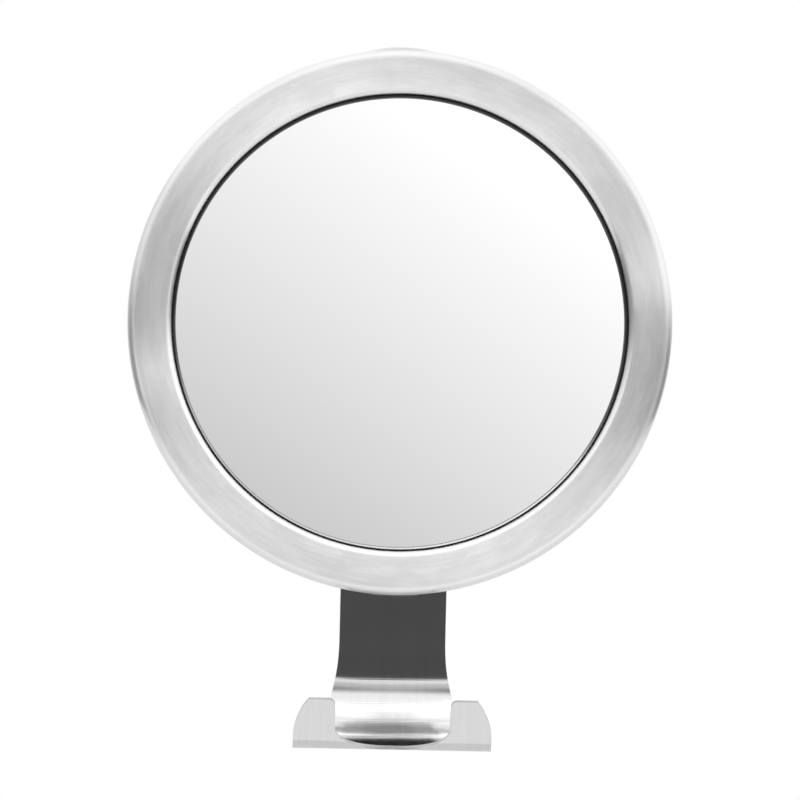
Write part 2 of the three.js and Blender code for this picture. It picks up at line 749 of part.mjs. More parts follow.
// Carrier ring: a channel inside the steel ring, with bosses for the shell's screws
function carrierRing() {
  const slope = bezelFaceSlope;
  const span = bezelRadius - bezelLipRadius;
  const faceFall = (span / 2) * Math.tan(slope / 2);
  const topDepth = bezelFrontDepth - faceFall - bezelGauge - seatGap;
  const backDepth = shellFrontDepth + seatGap;
  const innerRadius = carrierInnerRadius;
  const outerRadius = carrierOuterRadius;
  const outline = [
    [innerRadius, backDepth],
    [innerRadius, topDepth],
    [outerRadius - carrierChamfer, topDepth],
    [outerRadius, topDepth - carrierChamfer],
    [outerRadius, backDepth],
    [outerRadius - carrierOuterWall, backDepth],
    [outerRadius - carrierOuterWall, topDepth - carrierWeb - carrierChamfer],
    [innerRadius + carrierInnerWall, topDepth - carrierWeb],
    [innerRadius + carrierInnerWall, backDepth],
    [innerRadius, backDepth],
  ];
  const bosses = screwPlaces().map(({ x, z }) =>
    rod(carrierBossRadius, backDepth, topDepth - carrierWeb + weldLap, x, z, pillarSides));
  const bossLimit = ring(innerRadius + weldLap, outerRadius - weldLap, 0, topDepth, discSides);
  const screwDepth = shellFrontDepth - shellPillarFloor + shellScrewShank.length;
  const holes = screwPlaces().map(({ x, z }) =>
    rod(shellScrewShank.radius + holeGap, 0, screwDepth, x, z));
  const body = turned(outline, discSides).add(united(bosses).intersect(bossLimit));
  return body.subtract(united(holes));
}

// Mirror pane: a disc with a fine bevel on its front edge
function mirrorPane() {
  const outline = [
    [0, paneBackDepth],
    [paneRadius, paneBackDepth],
    [paneRadius, paneFrontDepth - paneBevel],
    [paneRadius - paneBevel, paneFrontDepth],
    [0, paneFrontDepth],
  ];
  return turned(outline, ringSides);
}

// Mirror seal: a rubber ring that wraps the pane's edge and stands as a round bead in the lip
function mirrorGasket() {
  const beadOuter = bezelLipRadius - seatGap;
  const beadRadius = (beadOuter - sealSightRadius) / 2;
  const beadCentre = sealSightRadius + beadRadius;
  const beadCentreDepth = sealFlangeDepth + sealBeadHeight - beadRadius;
  const wallRadius = paneRadius + seatGap;
  const outline = [
    [sealSightRadius, sealFlangeDepth],
    ...arc(beadCentre, beadCentreDepth, beadRadius, halfTurn, 0, 4),
    [beadOuter, sealFrontDepth],
    [wallRadius + sealWall, sealFrontDepth],
    [wallRadius + sealWall, paneBackDepth],
    [wallRadius, paneBackDepth],
    [wallRadius, sealFlangeDepth],
    [sealSightRadius, sealFlangeDepth],
  ];
  return turned(outline, discSides);
}

// The bent line of the hook's sheet as stretches of straight and arc, from the strip's top
const hookStretches = [
  { length: hookTop - hookSweepStart, turn: 0, steps: 2 },
  { length: hookSweepRadius * hookSweep, turn: hookSweep, steps: 14 },
  { length: hookBendRadius * hookBend, turn: hookBend, steps: 8 },
  { length: hookLipLength, turn: 0, steps: 6 },
];
const hookSweepAt = hookStretches[0].length;
const hookFlareAt = hookSweepAt - hookFlareLead;
const hookBendAt = hookSweepAt + hookStretches[1].length;
const hookNotchAt = hookBendAt + hookNotchPastBend;
const hookLength = hookStretches.reduce((sum, stretch) => sum + stretch.length, 0);

// Place and heading on the middle of the bent sheet at a distance along the flat blank.
// Heading 0 points down, a quarter turn points to the front.
function onHook(along) {
  let depth = hookMidDepth;
  let height = hookTop;
  let heading = 0;
  let left = along;
  for (const [i, { length, turn }] of hookStretches.entries()) {
    const part = i < hookStretches.length - 1 ? Math.min(left, length) : left;
    if (turn === 0) {
      depth += part * Math.sin(heading);
      height -= part * Math.cos(heading);
    } else {
      const radius = length / turn;
      const next = heading + part / radius;
      depth += radius * (Math.cos(heading) - Math.cos(next));
      height -= radius * (Math.sin(next) - Math.sin(heading));
      heading = next;
    }
    left -= part;
    if (left <= 0) break;
  }
  return { depth, height, heading };
}

// Bends a flat strip on the hook's line: halfWidth gives its half width at each distance
function bentStrip(stations, halfWidth, thickness) {
  const sections = stations.map((along) => {
    const { depth, height, heading } = onHook(along);
    const half = halfWidth(along);
    return [[-1, -1], [1, -1], [1, 1], [-1, 1]].map(([side, face]) => {
      const lift = (face * thickness) / 2;
      return [side * half, -(depth + lift * Math.cos(heading)), height + lift * Math.sin(heading)];
    });
  });
  return throughSections(sections);
}

// How far an arc of this radius has moved sideways after a run along its tangent
function arcDrift(radius, run) {
  const inside = Math.max(radius * radius - run * run, 0);
  return radius - Math.sqrt(inside);
}

// Half width of the hook's blank: rounded top corners, narrow strip, flare, plate, rounded ears
function blankHalfWidth(along) {
  const strip = hookStripWidth / 2;
  const plateHalf = hookPlateWidth / 2;
  if (along < hookTopCorner) return strip - arcDrift(hookTopCorner, hookTopCorner - along);
  const flareRun = Math.min(Math.max(along - hookFlareAt, 0), hookFlareRadius);
  const flare = strip + arcDrift(hookFlareRadius, flareRun);
  const earRun = Math.max(along - (hookLength - hookEarFall), 0);
  return Math.min(flare, plateHalf - arcDrift(hookEarRadius, earRun));
}

// Half width of the notch's cutter: its bottom is a half ellipse as seen from the front, its sides
// are straight and its mouth is rounded
function notchHalfWidth(along) {
  const half = hookNotchWidth / 2;
  const lowest = onHook(hookNotchAt).height;
  const roundHeight = onHook(hookNotchAt + hookNotchRound).height - lowest;
  const rise = Math.min((onHook(along).height - lowest) / roundHeight, 1);
  const bottom = half * Math.sqrt(Math.max(1 - (1 - rise) ** 2, 0));
  const mouthRun = Math.max(along - (hookLength - hookNotchFillet), 0);
  return Math.max(bottom, hookNotchTip) + arcDrift(hookNotchFillet, Math.min(mouthRun, hookNotchFillet));
}

// Distances along the blank: the ends of every stretch, with even steps between
function hookStations() {
  const flareEnd = Math.sqrt(hookFlareRadius ** 2
    - (hookFlareRadius - (hookPlateWidth - hookStripWidth) / 2) ** 2);
  const stations = [];
  for (let i = 0; i <= hookCornerSteps; i += 1) {
    stations.push((hookTopCorner * i) / hookCornerSteps);
  }
  let start = 0;
  for (const { length, steps } of hookStretches) {
    for (let i = 1; i <= steps; i += 1) stations.push(start + (length * i) / steps);
    start += length;
  }
  stations.push(hookFlareAt, hookFlareAt + flareEnd, hookLength - hookEarFall);
  return stations.sort((a, b) => a - b)
    .filter((value, i, all) => i === 0 || value - all[i - 1] > stationGap);
}

// Distances along the notch's cutter, closer together at its round bottom and at its mouth
function notchStations() {
  const stations = [];
  for (let i = 0; i <= notchBottomSteps; i += 1) {
    stations.push(hookNotchAt + hookNotchRound * (i / notchBottomSteps) ** 2);
  }
  for (let i = 0; i <= notchMouthSteps; i += 1) {
    const turn = (i / notchMouthSteps) * quarterTurn;
    stations.push(hookLength - hookNotchFillet * Math.cos(turn));
  }
  stations.push(hookLength + overrun);
  return stations;
}

// Razor hook: one sheet, cut flat and bent; the notch is cut by a thicker strip bent the same way
function razorHook() {
  const blank = bentStrip(hookStations(), blankHalfWidth, hookGauge);
  const notch = bentStrip(notchStations(), notchHalfWidth, hookGauge + 2 * overrun);
  const holes = hookScrewHeights().map((z) =>
    rod(hookScrewShank.radius + holeGap, hookMidDepth - hookGauge, hookMidDepth + hookGauge, 0, z));
  return blank.subtract(united([notch, ...holes]));
}

// Depth of the face that the hook's screw heads bear on, with their seat gap
function hookScrewDepth() {
  return hookMidDepth - hookGauge / 2 - seatGap;
}

// A screw with a domed head behind the depth 0 and its shank before it
function screw(head, shank) {
  const outline = [
    [0, -head.height],
    [head.radius * screwCrownShare, -head.height],
    [head.radius, -head.height * screwRimShare],
    [head.radius, 0],
    [shank.radius, 0],
    [shank.radius, shank.length],
    [0, shank.length],
  ];
  return toGeometry(turned(outline, screwSides));
}

const finishes = {
  steel: { color: 0xc9cbcd, roughness: 0.32, metalness: 1 },
  mirror: { color: 0xf2f4f5, roughness: 0.02, metalness: 1 },
  seal: { color: 0x0c0c0d, roughness: 0.35, metalness: 0 },
  foam: { color: 0x2c2d2f, roughness: 0.95, metalness: 0 },
  shell: { color: 0xd9dbdc, roughness: 0.5, metalness: 0 },
  mount: { color: 0xe9eaea, roughness: 0.45, metalness: 0 },
  joint: { color: 0x1c1d1f, roughness: 0.45, metalness: 0 },
  ball: { color: 0xb9bcbf, roughness: 0.2, metalness: 1 },
  screw: { color: 0xa9acaf, roughness: 0.35, metalness: 1 },
  cup: { color: 0xcfdadf, roughness: 0.3, metalness: 0 },
};

const mirror = new THREE.Group();

// Adds one named piece to the model and returns it for placing
function piece(name, geometry, finish) {
  const mesh = new THREE.Mesh(geometry, new THREE.MeshStandardMaterial(finishes[finish]));
  mesh.name = name;
  mirror.add(mesh);
  return mesh;
}

// Adds a set of alike screws, each at its own place, with heads to the wall or to the front
function screwSet(name, head, shank, places, depth, headsToFront = false) {
  const geometry = screw(head, shank);
  places.forEach(({ x, z }, i) => {
    const mesh = piece(`${name}_${i + 1}`, geometry, 'screw');
    mesh.position.set(x, -depth, z);
    if (headsToFront) mesh.rotation.x = halfTurn;
  });
}

piece('bezel_ring', toGeometry(bezelRing()), 'steel');
piece('mirror_pane', toGeometry(mirrorPane()), 'mirror');
piece('mirror_gasket', toGeometry(mirrorGasket()), 'seal');
piece('foam_pad', toGeometry(rod(padRadius, padBackDepth, padFrontDepth, 0, 0, discSides)), 'foam');
piece('carrier_ring', toGeometry(carrierRing()), 'joint');
piece('rear_shell', toGeometry(rearShell()), 'shell');
piece('razor_hook', toGeometry(razorHook()), 'steel');
piece('ball_socket', toGeometry(ballSocket()), 'shell');
piece('ball_liner', toGeometry(ballLiner()), 'joint');
piece('clamp_ring', toGeometry(clampRing()), 'mount');
piece('ball_stud', toGeometry(ballStud()), 'ball');
piece('stud_nut', toGeometry(hexNut()), 'screw');
piece('stud_washer', toGeometry(
  ring(shankRadius + runGap, washerRadius, washerDepth, washerDepth + washerThickness, smallSides)), 'joint');
piece('front_cap', toGeometry(frontCap()), 'mount');
piece('twist_lever', toGeometry(twistLever()), 'mount');
piece('base_bell', toGeometry(baseBell()), 'mount');
piece('pull_stem', toGeometry(pullStem()), 'joint');
piece('cross_pin', toGeometry(acrossRod(pinRadius, pinLength)), 'screw');
piece('suction_cup', toGeometry(suctionCup()), 'cup');

screwSet('shell_screw', shellScrewHead, shellScrewShank, screwPlaces(),
  shellFrontDepth - shellPillarFloor - seatGap);
screwSet('socket_screw', socketScrewHead, socketScrewShank,
  aroundAxis(socketScrews, socketScrewCircle, diagonal), socketFrontDepth - socketFlange - seatGap);
screwSet('hook_screw', hookScrewHead, hookScrewShank,
  hookScrewHeights().map((z) => ({ x: 0, z })), hookScrewDepth());
screwSet('cap_screw', capScrewHead, capScrewShank,
  aroundAxis(capScrews, capScrewCircle, quarterTurn), capFrontDepth - capScrewHead.height, true);

export default mirror;
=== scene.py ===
from math import asin, cos, pi, sin, sqrt, tan

import bmesh
import bpy
from mathutils import Euler, Matrix, Vector


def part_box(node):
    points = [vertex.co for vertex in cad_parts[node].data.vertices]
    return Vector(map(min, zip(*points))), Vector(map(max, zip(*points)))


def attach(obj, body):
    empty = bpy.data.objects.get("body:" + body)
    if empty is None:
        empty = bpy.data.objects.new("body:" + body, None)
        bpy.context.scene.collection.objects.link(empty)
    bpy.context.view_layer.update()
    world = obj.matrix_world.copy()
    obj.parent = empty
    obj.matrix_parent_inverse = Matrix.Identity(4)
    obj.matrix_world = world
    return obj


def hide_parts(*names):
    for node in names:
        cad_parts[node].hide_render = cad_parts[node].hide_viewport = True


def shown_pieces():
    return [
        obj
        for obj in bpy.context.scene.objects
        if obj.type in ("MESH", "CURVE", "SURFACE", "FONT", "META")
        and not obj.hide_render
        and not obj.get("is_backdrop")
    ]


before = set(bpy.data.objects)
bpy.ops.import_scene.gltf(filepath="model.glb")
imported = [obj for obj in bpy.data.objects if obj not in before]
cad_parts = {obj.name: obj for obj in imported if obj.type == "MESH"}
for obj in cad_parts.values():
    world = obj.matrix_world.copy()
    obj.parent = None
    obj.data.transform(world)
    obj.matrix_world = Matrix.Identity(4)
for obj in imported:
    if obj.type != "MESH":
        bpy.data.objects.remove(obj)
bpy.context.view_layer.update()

# The looks of a round shower mirror on a suction mount, in metres.
#
# The frame is the CAD's: X right, Y into the wall, Z up. Pieces are drawn as they are seen from
# the front, in (right, up, depth), where a depth is a distance from the wall.
mm = 0.001
degree = pi / 180
quarter_turn = 90 * degree
half_turn = 180 * degree
full_turn = 360 * degree

# The screws of the shell and of the socket stand on the diagonals
diagonal = 45 * degree

# Fits and cutters that many pieces share
weld = 0.001 * mm  # points closer than this are one
overrun = 1 * mm  # how far a cutter passes the face that it cuts
lap = 1 * mm  # how far a joined block reaches into the wall that carries it
seat_gap = 0.3 * mm
run_gap = 0.25 * mm
moulded_edge = 0.5 * mm
corner_share = 0.45  # the most of a side that the rounding of one corner takes

# Turns (right, up, depth) into the frame: depth runs along -Y
facing_front = Euler((quarter_turn, 0, 0)).to_matrix().to_4x4()
# Turns (up, depth, right) into the frame, for the hook, which is brushed lengthwise
lengthwise = Matrix(((0, 0, 1, 0), (0, -1, 0, 0), (1, 0, 0, 0), (0, 0, 0, 1)))


def reach(node):
    """Radius or half width of a CAD node, and the depths of its back and front."""
    low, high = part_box(node)
    return high.x, -high.y, -low.y


# Sizes and depths that the frame gives
ring_radius, ring_back, ring_front = reach("bezel_ring")
pane_radius, pane_back, pane_front = reach("mirror_pane")
shell_radius, shell_back, shell_front = reach("rear_shell")
socket_flange_radius, socket_back, socket_front = reach("ball_socket")
clamp_radius, clamp_back, clamp_front = reach("clamp_ring")
liner_radius, liner_back, _ = reach("ball_liner")
collar_radius, stud_back, stud_front = reach("ball_stud")
washer_radius, washer_back, washer_front = reach("stud_washer")
cap_radius, cap_back, cap_front = reach("front_cap")
_, lever_back, lever_front = reach("twist_lever")
bell_radius, bell_rim, neck_front = reach("base_bell")
cup_radius, _, cup_front = reach("suction_cup")
lever_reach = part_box("twist_lever")[1].z
hook_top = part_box("razor_hook")[1].z

# Steel ring
ring_width = 13.3 * mm
ring_gauge = 0.8 * mm
lip_roll = 2.1 * mm
edge_roll = 2.2 * mm
face_slope = 8 * degree
fold_depth = ring_front - 2.6 * mm

# Pane and seal bead
pane_bevel = 0.4 * mm
seal_sight = 1.05 * mm
seal_wall = 0.7 * mm
seal_bead_height = 1.5 * mm
seal_chamfer = 0.5 * mm
seal_slope = 40 * degree
seal_edge = 0.1 * mm

# Razor hook
hook_gauge = 1.2 * mm
hook_edge = 0.1 * mm
hook_mid = ring_back - 1 * mm
hook_drop = 18.4 * mm
sweep_radius = 26 * mm
sweep_turn = 90 * degree
bend_radius = 3.5 * mm
bend_turn = 75 * degree
lip_length = 12.9 * mm
strip_width = 32.6 * mm
plate_width = 58.8 * mm
flare_radius = 70 * mm
flare_lead = 3.5 * mm
hook_top_corner = 4 * mm
ear_radius = 20 * mm
ear_fall = 12.6 * mm
notch_width = 34 * mm
notch_round = 7.9 * mm
notch_past_bend = 0.4 * mm
notch_fillet = 2 * mm
hook_screws_from_top = (8 * mm, 25 * mm)
hook_hole = 1.8 * mm
cut_face = 0.1  # faces whose normals point less than this out of the sheet are cut edges
slice_width = 0.002 * mm

# Rear shell
shell_flat_radius = 42 * mm
shell_dome = 7 * mm
shell_wall = 2.2 * mm
shell_screw_circle = 76.3 * mm
shell_pillar_floor = 3.6 * mm
shell_pillar_radius = 3.6 * mm
shell_pillar_back = 4 * mm
shell_pillar_inset = 0.6 * mm
shell_head_hole = 2.8 * mm
pocket_depth = 5.9 * mm
pocket_play = 0.3 * mm
pad_width = 39 * mm
pad_margin = 3 * mm
pad_floor = 3.6 * mm
pad_foot_inset = 1.2 * mm

# Ball joint
ball_radius = 8 * mm
shank_radius = 3 * mm
stud_neck_radius = 3.4 * mm
collar_thickness = 1.6 * mm
stud_edge = 0.35 * mm
neck_fillet_width = 1 * mm
neck_fillet_foot = 0.6 * mm
neck_fillet_top = 2 * mm
washer_edge = 0.15 * mm
mouth_turn = 52 * degree
liner_wall = 1.5 * mm
liner_slot = 1 * mm
liner_slot_past_centre = 1 * mm
socket_radius = 12.4 * mm
socket_flange = 3.2 * mm
socket_bore = 10 * mm
socket_screw_circle = 16.6 * mm
clamp_back_radius = 12.6 * mm
clamp_taper = 3.5 * mm
clamp_flutes = 12
flute_radius = 1.8 * mm
flute_bite = 0.9 * mm
flute_from = 1 * mm  # the flutes bite only this far outside the socket or more

# Wall mount
cap_edge = 1.6 * mm
cap_recess = 3.3 * mm
cap_recess_radius = 7.6 * mm
cap_screw_circle = 9.9 * mm
cap_well = 1.7 * mm
cap_well_radius = 2.5 * mm
cap_hole = 1.3 * mm
lever_ring_radius = 24 * mm
lever_bore = 12.25 * mm
lever_groove_radius = 17.5 * mm
lever_floor = 1.6 * mm
lever_edge = 0.6 * mm
paddle_foot = 0.4 * mm  # how far outside the groove the paddle starts, within the ring
paddle_front = lever_front - 2.3 * mm
paddle_thickness = 5 * mm
paddle_edge = 1.4 * mm
tip_radius = 39 * mm
tip_width = 34 * mm
tip_corner = 11 * mm
root_width = 22 * mm
grip_ribs = 3
grip_rib_length = 20 * mm
grip_rib_width = 1.4 * mm
grip_rib_height = 0.8 * mm
grip_rib_pitch = 4 * mm
grip_rib_from_tip = 6 * mm
grip_rib_edge = 0.45 * mm
bell_skirt = 3 * mm
bell_shoulder = 22 * mm
bell_deck = 3.3 * mm
bell_wall = 2.3 * mm
bell_foot = 0.8 * mm
bell_hub = 14.3 * mm
bell_hub_foot = 2 * mm
neck_radius = 12 * mm
stem_hole = 4.25 * mm
cup_seal = 7 * mm
cup_knee_inset = 4 * mm
cup_knee = 2.2 * mm
cup_rim = 1.2 * mm
cup_hollow = 2.8 * mm
cup_boss = 13.5 * mm
cup_boss_foot = 7.2 * mm
cup_skin = 1.5 * mm
cup_mouth = 5.2 * mm
cup_lip = 1.2 * mm
cup_edge = 0.4 * mm
cup_hollow_share = 0.8  # of the hollow's height that is left under the boss's edge
plate_room = 10.8 * mm
tab_width = 12 * mm
tab_length = 6 * mm
tab_thickness = 1.6 * mm
tab_corner = 2.5 * mm
tab_lap = 3 * mm

# A screw's head and point, as shares of the head's radius and height
screw_crown = 0.55
screw_rim = 0.35
cross_length = 1.15
cross_width = 0.26
cross_floor = 0.4
screw_tip = 0.6
screw_point = 0.5 * mm

# How far the driver left the first screw of a set turned, and each next one more, in radians
screw_turn = 0.7
screw_turn_step = 1.3

# Screws as head radius, head height, shank radius and length
shell_screw = (2.6 * mm, 1.8 * mm, 1.4 * mm, 9 * mm)
socket_screw = (2.6 * mm, 1.7 * mm, 1.3 * mm, 8 * mm)
hook_screw = (3.3 * mm, 1.8 * mm, 1.6 * mm, 4.6 * mm)
cap_screw = (2.3 * mm, 1.4 * mm, 1.1 * mm, 12 * mm)

# Fineness of curves: sides of a full turn, and steps of an arc or a line
ring_sides = 256
small_sides = 96
screw_sides = 40
fine = 12
coarse = 6
arc_steps = 8
corner_steps = 10
side_steps = 14
section_steps = 16
bowl_steps = 20
sweep_steps = 60
bend_steps = 30
hole_sides = 32
flute_sides = 24
notch_steps = 28
ear_steps = 24
ball_steps = 32

# Camera: the photograph's view
lens = 116.07
camera_place = (-16.14 * mm, -854.11 * mm, -25.17 * mm)
camera_azimuth = 1.213 * degree
camera_elevation = 0.125 * degree
camera_roll = 1.312 * degree


def steps_between(start, end, count):
    return [start + (end - start) * i / count for i in range(count + 1)]


def arc(centre, radius, start, end, steps=fine):
    """Points on an arc in an outline; angle 0 points along the first axis."""
    x, y = centre
    return [(x + radius * cos(a), y + radius * sin(a)) for a in steps_between(start, end, steps)]


def around(count, radius, first=0):
    """Places spaced evenly on a circle, as (right, up)."""
    return arc((0, 0), radius, first, first + full_turn, count)[:-1]


def blend(a, b, c, steps):
    """A smooth curve from a to c that is drawn towards b."""
    a, b, c = Vector(a), Vector(b), Vector(c)
    return [tuple(a * (1 - t) ** 2 + b * (2 * t * (1 - t)) + c * t ** 2)
            for t in steps_between(0, 1, steps)]


def rounded(points, radius, closed=True, steps=coarse):
    """An outline with every corner rounded by a curve that fits its two sides."""
    made = []
    count = len(points)
    for i, point in enumerate(points):
        if not closed and i in (0, count - 1):
            made.append(point)
            continue
        here = Vector(point)
        before = Vector(points[i - 1]) - here
        after = Vector(points[(i + 1) % count]) - here
        half = before.angle(after) / 2
        room = corner_share * min(before.length, after.length)
        cut = min(radius / tan(half), room)
        nearly_straight = half > quarter_turn - 4 * degree
        if nearly_straight:
            made.append(point)
            continue
        start = here + before.normalized() * cut
        end = here + after.normalized() * cut
        made += blend(start, here, end, steps)
    return made


def add_object(name, data):
    made = bpy.data.objects.new(name, data)
    bpy.context.scene.collection.objects.link(made)
    return made


def new_piece(name, points, faces, crease=35 * degree):
    """A mesh object from points and faces, with its faces pointing out."""
    mesh = bpy.data.meshes.new(name)
    mesh.from_pydata(points, [], faces)
    piece = add_object(name, mesh)
    piece.matrix_world = facing_front
    clean(piece, crease)
    return piece


def clean(piece, crease=35 * degree):
    """Merges double points, points the faces out and smooths all edges but creases."""
    work = bmesh.new()
    work.from_mesh(piece.data)
    bmesh.ops.remove_doubles(work, verts=work.verts, dist=weld)
    bmesh.ops.recalc_face_normals(work, faces=work.faces)
    work.to_mesh(piece.data)
    work.free()
    piece.data.shade_smooth()
    piece.data.set_sharp_from_angle(angle=crease)


def lathe(name, outline, sides=small_sides, shape=None, crease=35 * degree):
    """Revolves a closed outline of (radius, depth) points, or one that starts and ends on the axis."""
    points = []
    rings = []
    for radius, depth in outline:
        if radius < weld:
            rings.append([len(points)] * sides)
            points.append((0, 0, depth))
            continue
        rings.append(list(range(len(points), len(points) + sides)))
        for k in range(sides):
            angle = full_turn * k / sides
            r = shape(radius, depth, angle) if shape else radius
            points.append((r * cos(angle), r * sin(angle), depth))
    open_ends = outline[0][0] < weld and outline[-1][0] < weld
    faces = []
    for i in range(len(rings) - open_ends):
        near = rings[i]
        far = rings[(i + 1) % len(rings)]
        for k in range(sides):
            corners = [near[k], near[(k + 1) % sides], far[(k + 1) % sides], far[k]]
            corners = list(dict.fromkeys(corners))
            if len(corners) > 2:
                faces.append(corners)
    return new_piece(name, points, faces, crease=crease)


def shift(piece, right, up, depth):
    """Moves a piece's mesh, in its own axes."""
    piece.data.transform(Matrix.Translation((right, up, depth)))


def rod(radius, back, front, right=0, up=0, sides=screw_sides):
    """A round cutter along the depth."""
    outline = [(0, back), (radius, back), (radius, front), (0, front)]
    made = lathe("cutter", outline, sides)
    shift(made, right, up, 0)
    return made


def block(width, height, back, front, right=0, up=0):
    """A square block between two depths."""
    corners = ((1, 1), (-1, 1), (-1, -1), (1, -1))
    points = [(right + width / 2 * a, up + height / 2 * b, depth)
              for depth in (back, front) for a, b in corners]
    sides = [[i, (i + 1) % 4, 4 + (i + 1) % 4, 4 + i] for i in range(4)]
    return new_piece("cutter", points, [[0, 1, 2, 3], [4, 5, 6, 7], *sides])


def evaluated_mesh(made):
    """The mesh that an object's modifiers or curve settings give."""
    bpy.context.view_layer.update()
    shaped = made.evaluated_get(bpy.context.evaluated_depsgraph_get())
    return bpy.data.meshes.new_from_object(shaped)


def shape_with(piece, others, operation="DIFFERENCE"):
    """Cuts other solids from a piece, or joins them to it, and deletes them."""
    for other in others:
        modifier = piece.modifiers.new(operation, "BOOLEAN")
        modifier.operation = operation
        modifier.solver = "EXACT"
        modifier.object = other
    mesh = evaluated_mesh(piece)
    piece.modifiers.clear()
    piece.data = mesh
    for other in others:
        bpy.data.objects.remove(other)
    clean(piece)
    return piece


def rounded_plate(name, outlines, thickness, edge, steps=2):
    """A flat plate over closed outlines, with rounded edges; inner outlines are holes.

    The middle of its thickness is at depth 0.
    """
    curve = bpy.data.curves.new(name, "CURVE")
    curve.dimensions = "2D"
    curve.fill_mode = "BOTH"
    curve.extrude = thickness / 2 - edge
    curve.bevel_depth = edge
    curve.bevel_resolution = steps
    curve.offset = -edge
    for outline in outlines:
        spline = curve.splines.new("POLY")
        spline.points.add(len(outline) - 1)
        spline.use_cyclic_u = True
        for point, place in zip(spline.points, outline):
            point.co = (*place, 0, 1)
    holder = add_object(name, curve)
    flat = evaluated_mesh(holder)
    points = [tuple(v.co) for v in flat.vertices]
    faces = [tuple(f.vertices) for f in flat.polygons]
    bpy.data.objects.remove(holder)
    return new_piece(name, points, faces)


def finish_piece(piece, body, slot, *nodes):
    """Gives a piece the finish of a slot and its body, and hides the CAD nodes that it stands for."""
    piece.data.materials.append(finishes[slot])
    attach(piece, body)
    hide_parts(*nodes)
    return piece


class Term:
    """A number inside a node tree. Sums and products of terms add Math nodes."""

    def __init__(self, graph, socket):
        self.graph = graph
        self.socket = socket

    def __add__(self, other):
        return self.graph.math("ADD", self, other)

    def __sub__(self, other):
        return self.graph.math("SUBTRACT", self, other)

    def __rsub__(self, other):
        return self.graph.math("SUBTRACT", other, self)

    def __mul__(self, other):
        return self.graph.math("MULTIPLY", self, other)

    def __truediv__(self, other):
        return self.graph.math("DIVIDE", self, other)

    def __pow__(self, other):
        return self.graph.math("POWER", self, other)

    __radd__ = __add__
    __rmul__ = __mul__


class Graph:
    """The node tree of a material, a lamp or the world."""

    def __init__(self, owner):
        owner.use_nodes = True
        self.tree = owner.node_tree
        self.tree.nodes.clear()

    def add(self, kind, settings=None, inputs=None, output=0):
        """Adds a node, sets it up, then sets or links its sockets, and gives one output."""
        node = self.tree.nodes.new("ShaderNode" + kind)
        for name, value in (settings or {}).items():
            setattr(node, name, value)
        for name, value in (inputs or {}).items():
            if isinstance(value, Term):
                self.tree.links.new(value.socket, node.inputs[name])
            else:
                node.inputs[name].default_value = value
        return Term(self, node.outputs[output]) if node.outputs else None

    def math(self, operation, *values):
        return self.add("Math", {"operation": operation}, dict(enumerate(values)))

    def parts(self, vector):
        """The three numbers of a vector."""
        split = self.add("SeparateXYZ", inputs={0: vector})
        return [Term(self, socket) for socket in split.socket.node.outputs]

    def join(self, x, y, z):
        return self.add("CombineXYZ", inputs={0: x, 1: y, 2: z})

    def place(self):
        """Where a point lies in its piece, in metres."""
        return self.add("TexCoord", output="Object")

    def noise(self, at, scale, detail=2, roughness=0.5):
        values = {"Vector": at, "Scale": scale, "Detail": detail, "Roughness": roughness}
        return self.add("TexNoise", inputs=values)

    def rise(self, value, low, high):
        """0 below low, 1 above high and smooth between."""
        values = {"Value": value, "From Min": low, "From Max": high}
        return self.add("MapRange", {"interpolation_type": "SMOOTHSTEP"}, values)

    def mix(self, factor, first, second):
        """A colour between two colours."""
        values = {0: factor, 6: first, 7: second}
        return self.add("Mix", {"data_type": "RGBA"}, values, output=2)

    def bump(self, height, distance, strength=1):
        values = {"Height": height, "Distance": distance, "Strength": strength}
        return self.add("Bump", inputs=values)

    def surface(self, **values):
        """The material's Principled shader; underscores stand for the spaces of its socket names."""
        inputs = {name.replace("_", " "): value for name, value in values.items()}
        shader = self.add("BsdfPrincipled", inputs=inputs)
        self.add("OutputMaterial", inputs={"Surface": shader})


def material(name):
    made = bpy.data.materials.new(name)
    return made, Graph(made)


def grey(level):
    return (level, level, level, 1)


def band(graph, value, start, full, fade, end):
    """0 outside start and end, 1 between full and fade."""
    return graph.rise(value, start, full) * (1 - graph.rise(value, fade, end))


def streaks(graph, place, along, across, roughness=0.6):
    """Noise in streaks: slow along a place's first two numbers and quick along its third."""
    first, second, third = place
    return graph.noise(graph.join(first * along, second * along, third * across), 1, 3, roughness)


def ring_steel():
    """Steel brushed in circles, with long fine lines; the rolled lip and edge are painted paler, a painted
    highlight for the light they catch.
    """
    made, graph = material("ring_steel")
    right, up, depth = graph.parts(graph.place())
    radius = (right * right + up * up) ** 0.5
    place = (right / radius, up / radius, radius - depth)
    hair = streaks(graph, place, 45, 3600)
    line = streaks(graph, place, 6, 1500)
    cloud = streaks(graph, place, 6, 250, 0.5)
    grain = hair * 0.5 + line * 0.5
    face = graph.mix(graph.rise(grain * 0.5 + cloud * 0.5, 0.35, 0.65), grey(0.69), grey(0.79))
    # Painted highlight: the rolled lip and the rolled edge, near the front, are painted a paler grey than
    # the face, for the light that their rolls catch
    painted_highlight = 1 - band(graph, ring_radius - radius, 1.7 * mm, 2.9 * mm, 11.5 * mm, 12.5 * mm)
    painted_highlight = painted_highlight * graph.rise(depth, ring_front - 4 * mm, ring_front - 3 * mm)
    colour = graph.mix(painted_highlight, face, grey(0.93))
    graph.surface(Base_Color=colour, Metallic=1.0, Roughness=0.24 + grain * 0.05, Anisotropic=1.0,
                  Anisotropic_Rotation=0.25, Normal=graph.bump(grain, 0.008 * mm))
    return made


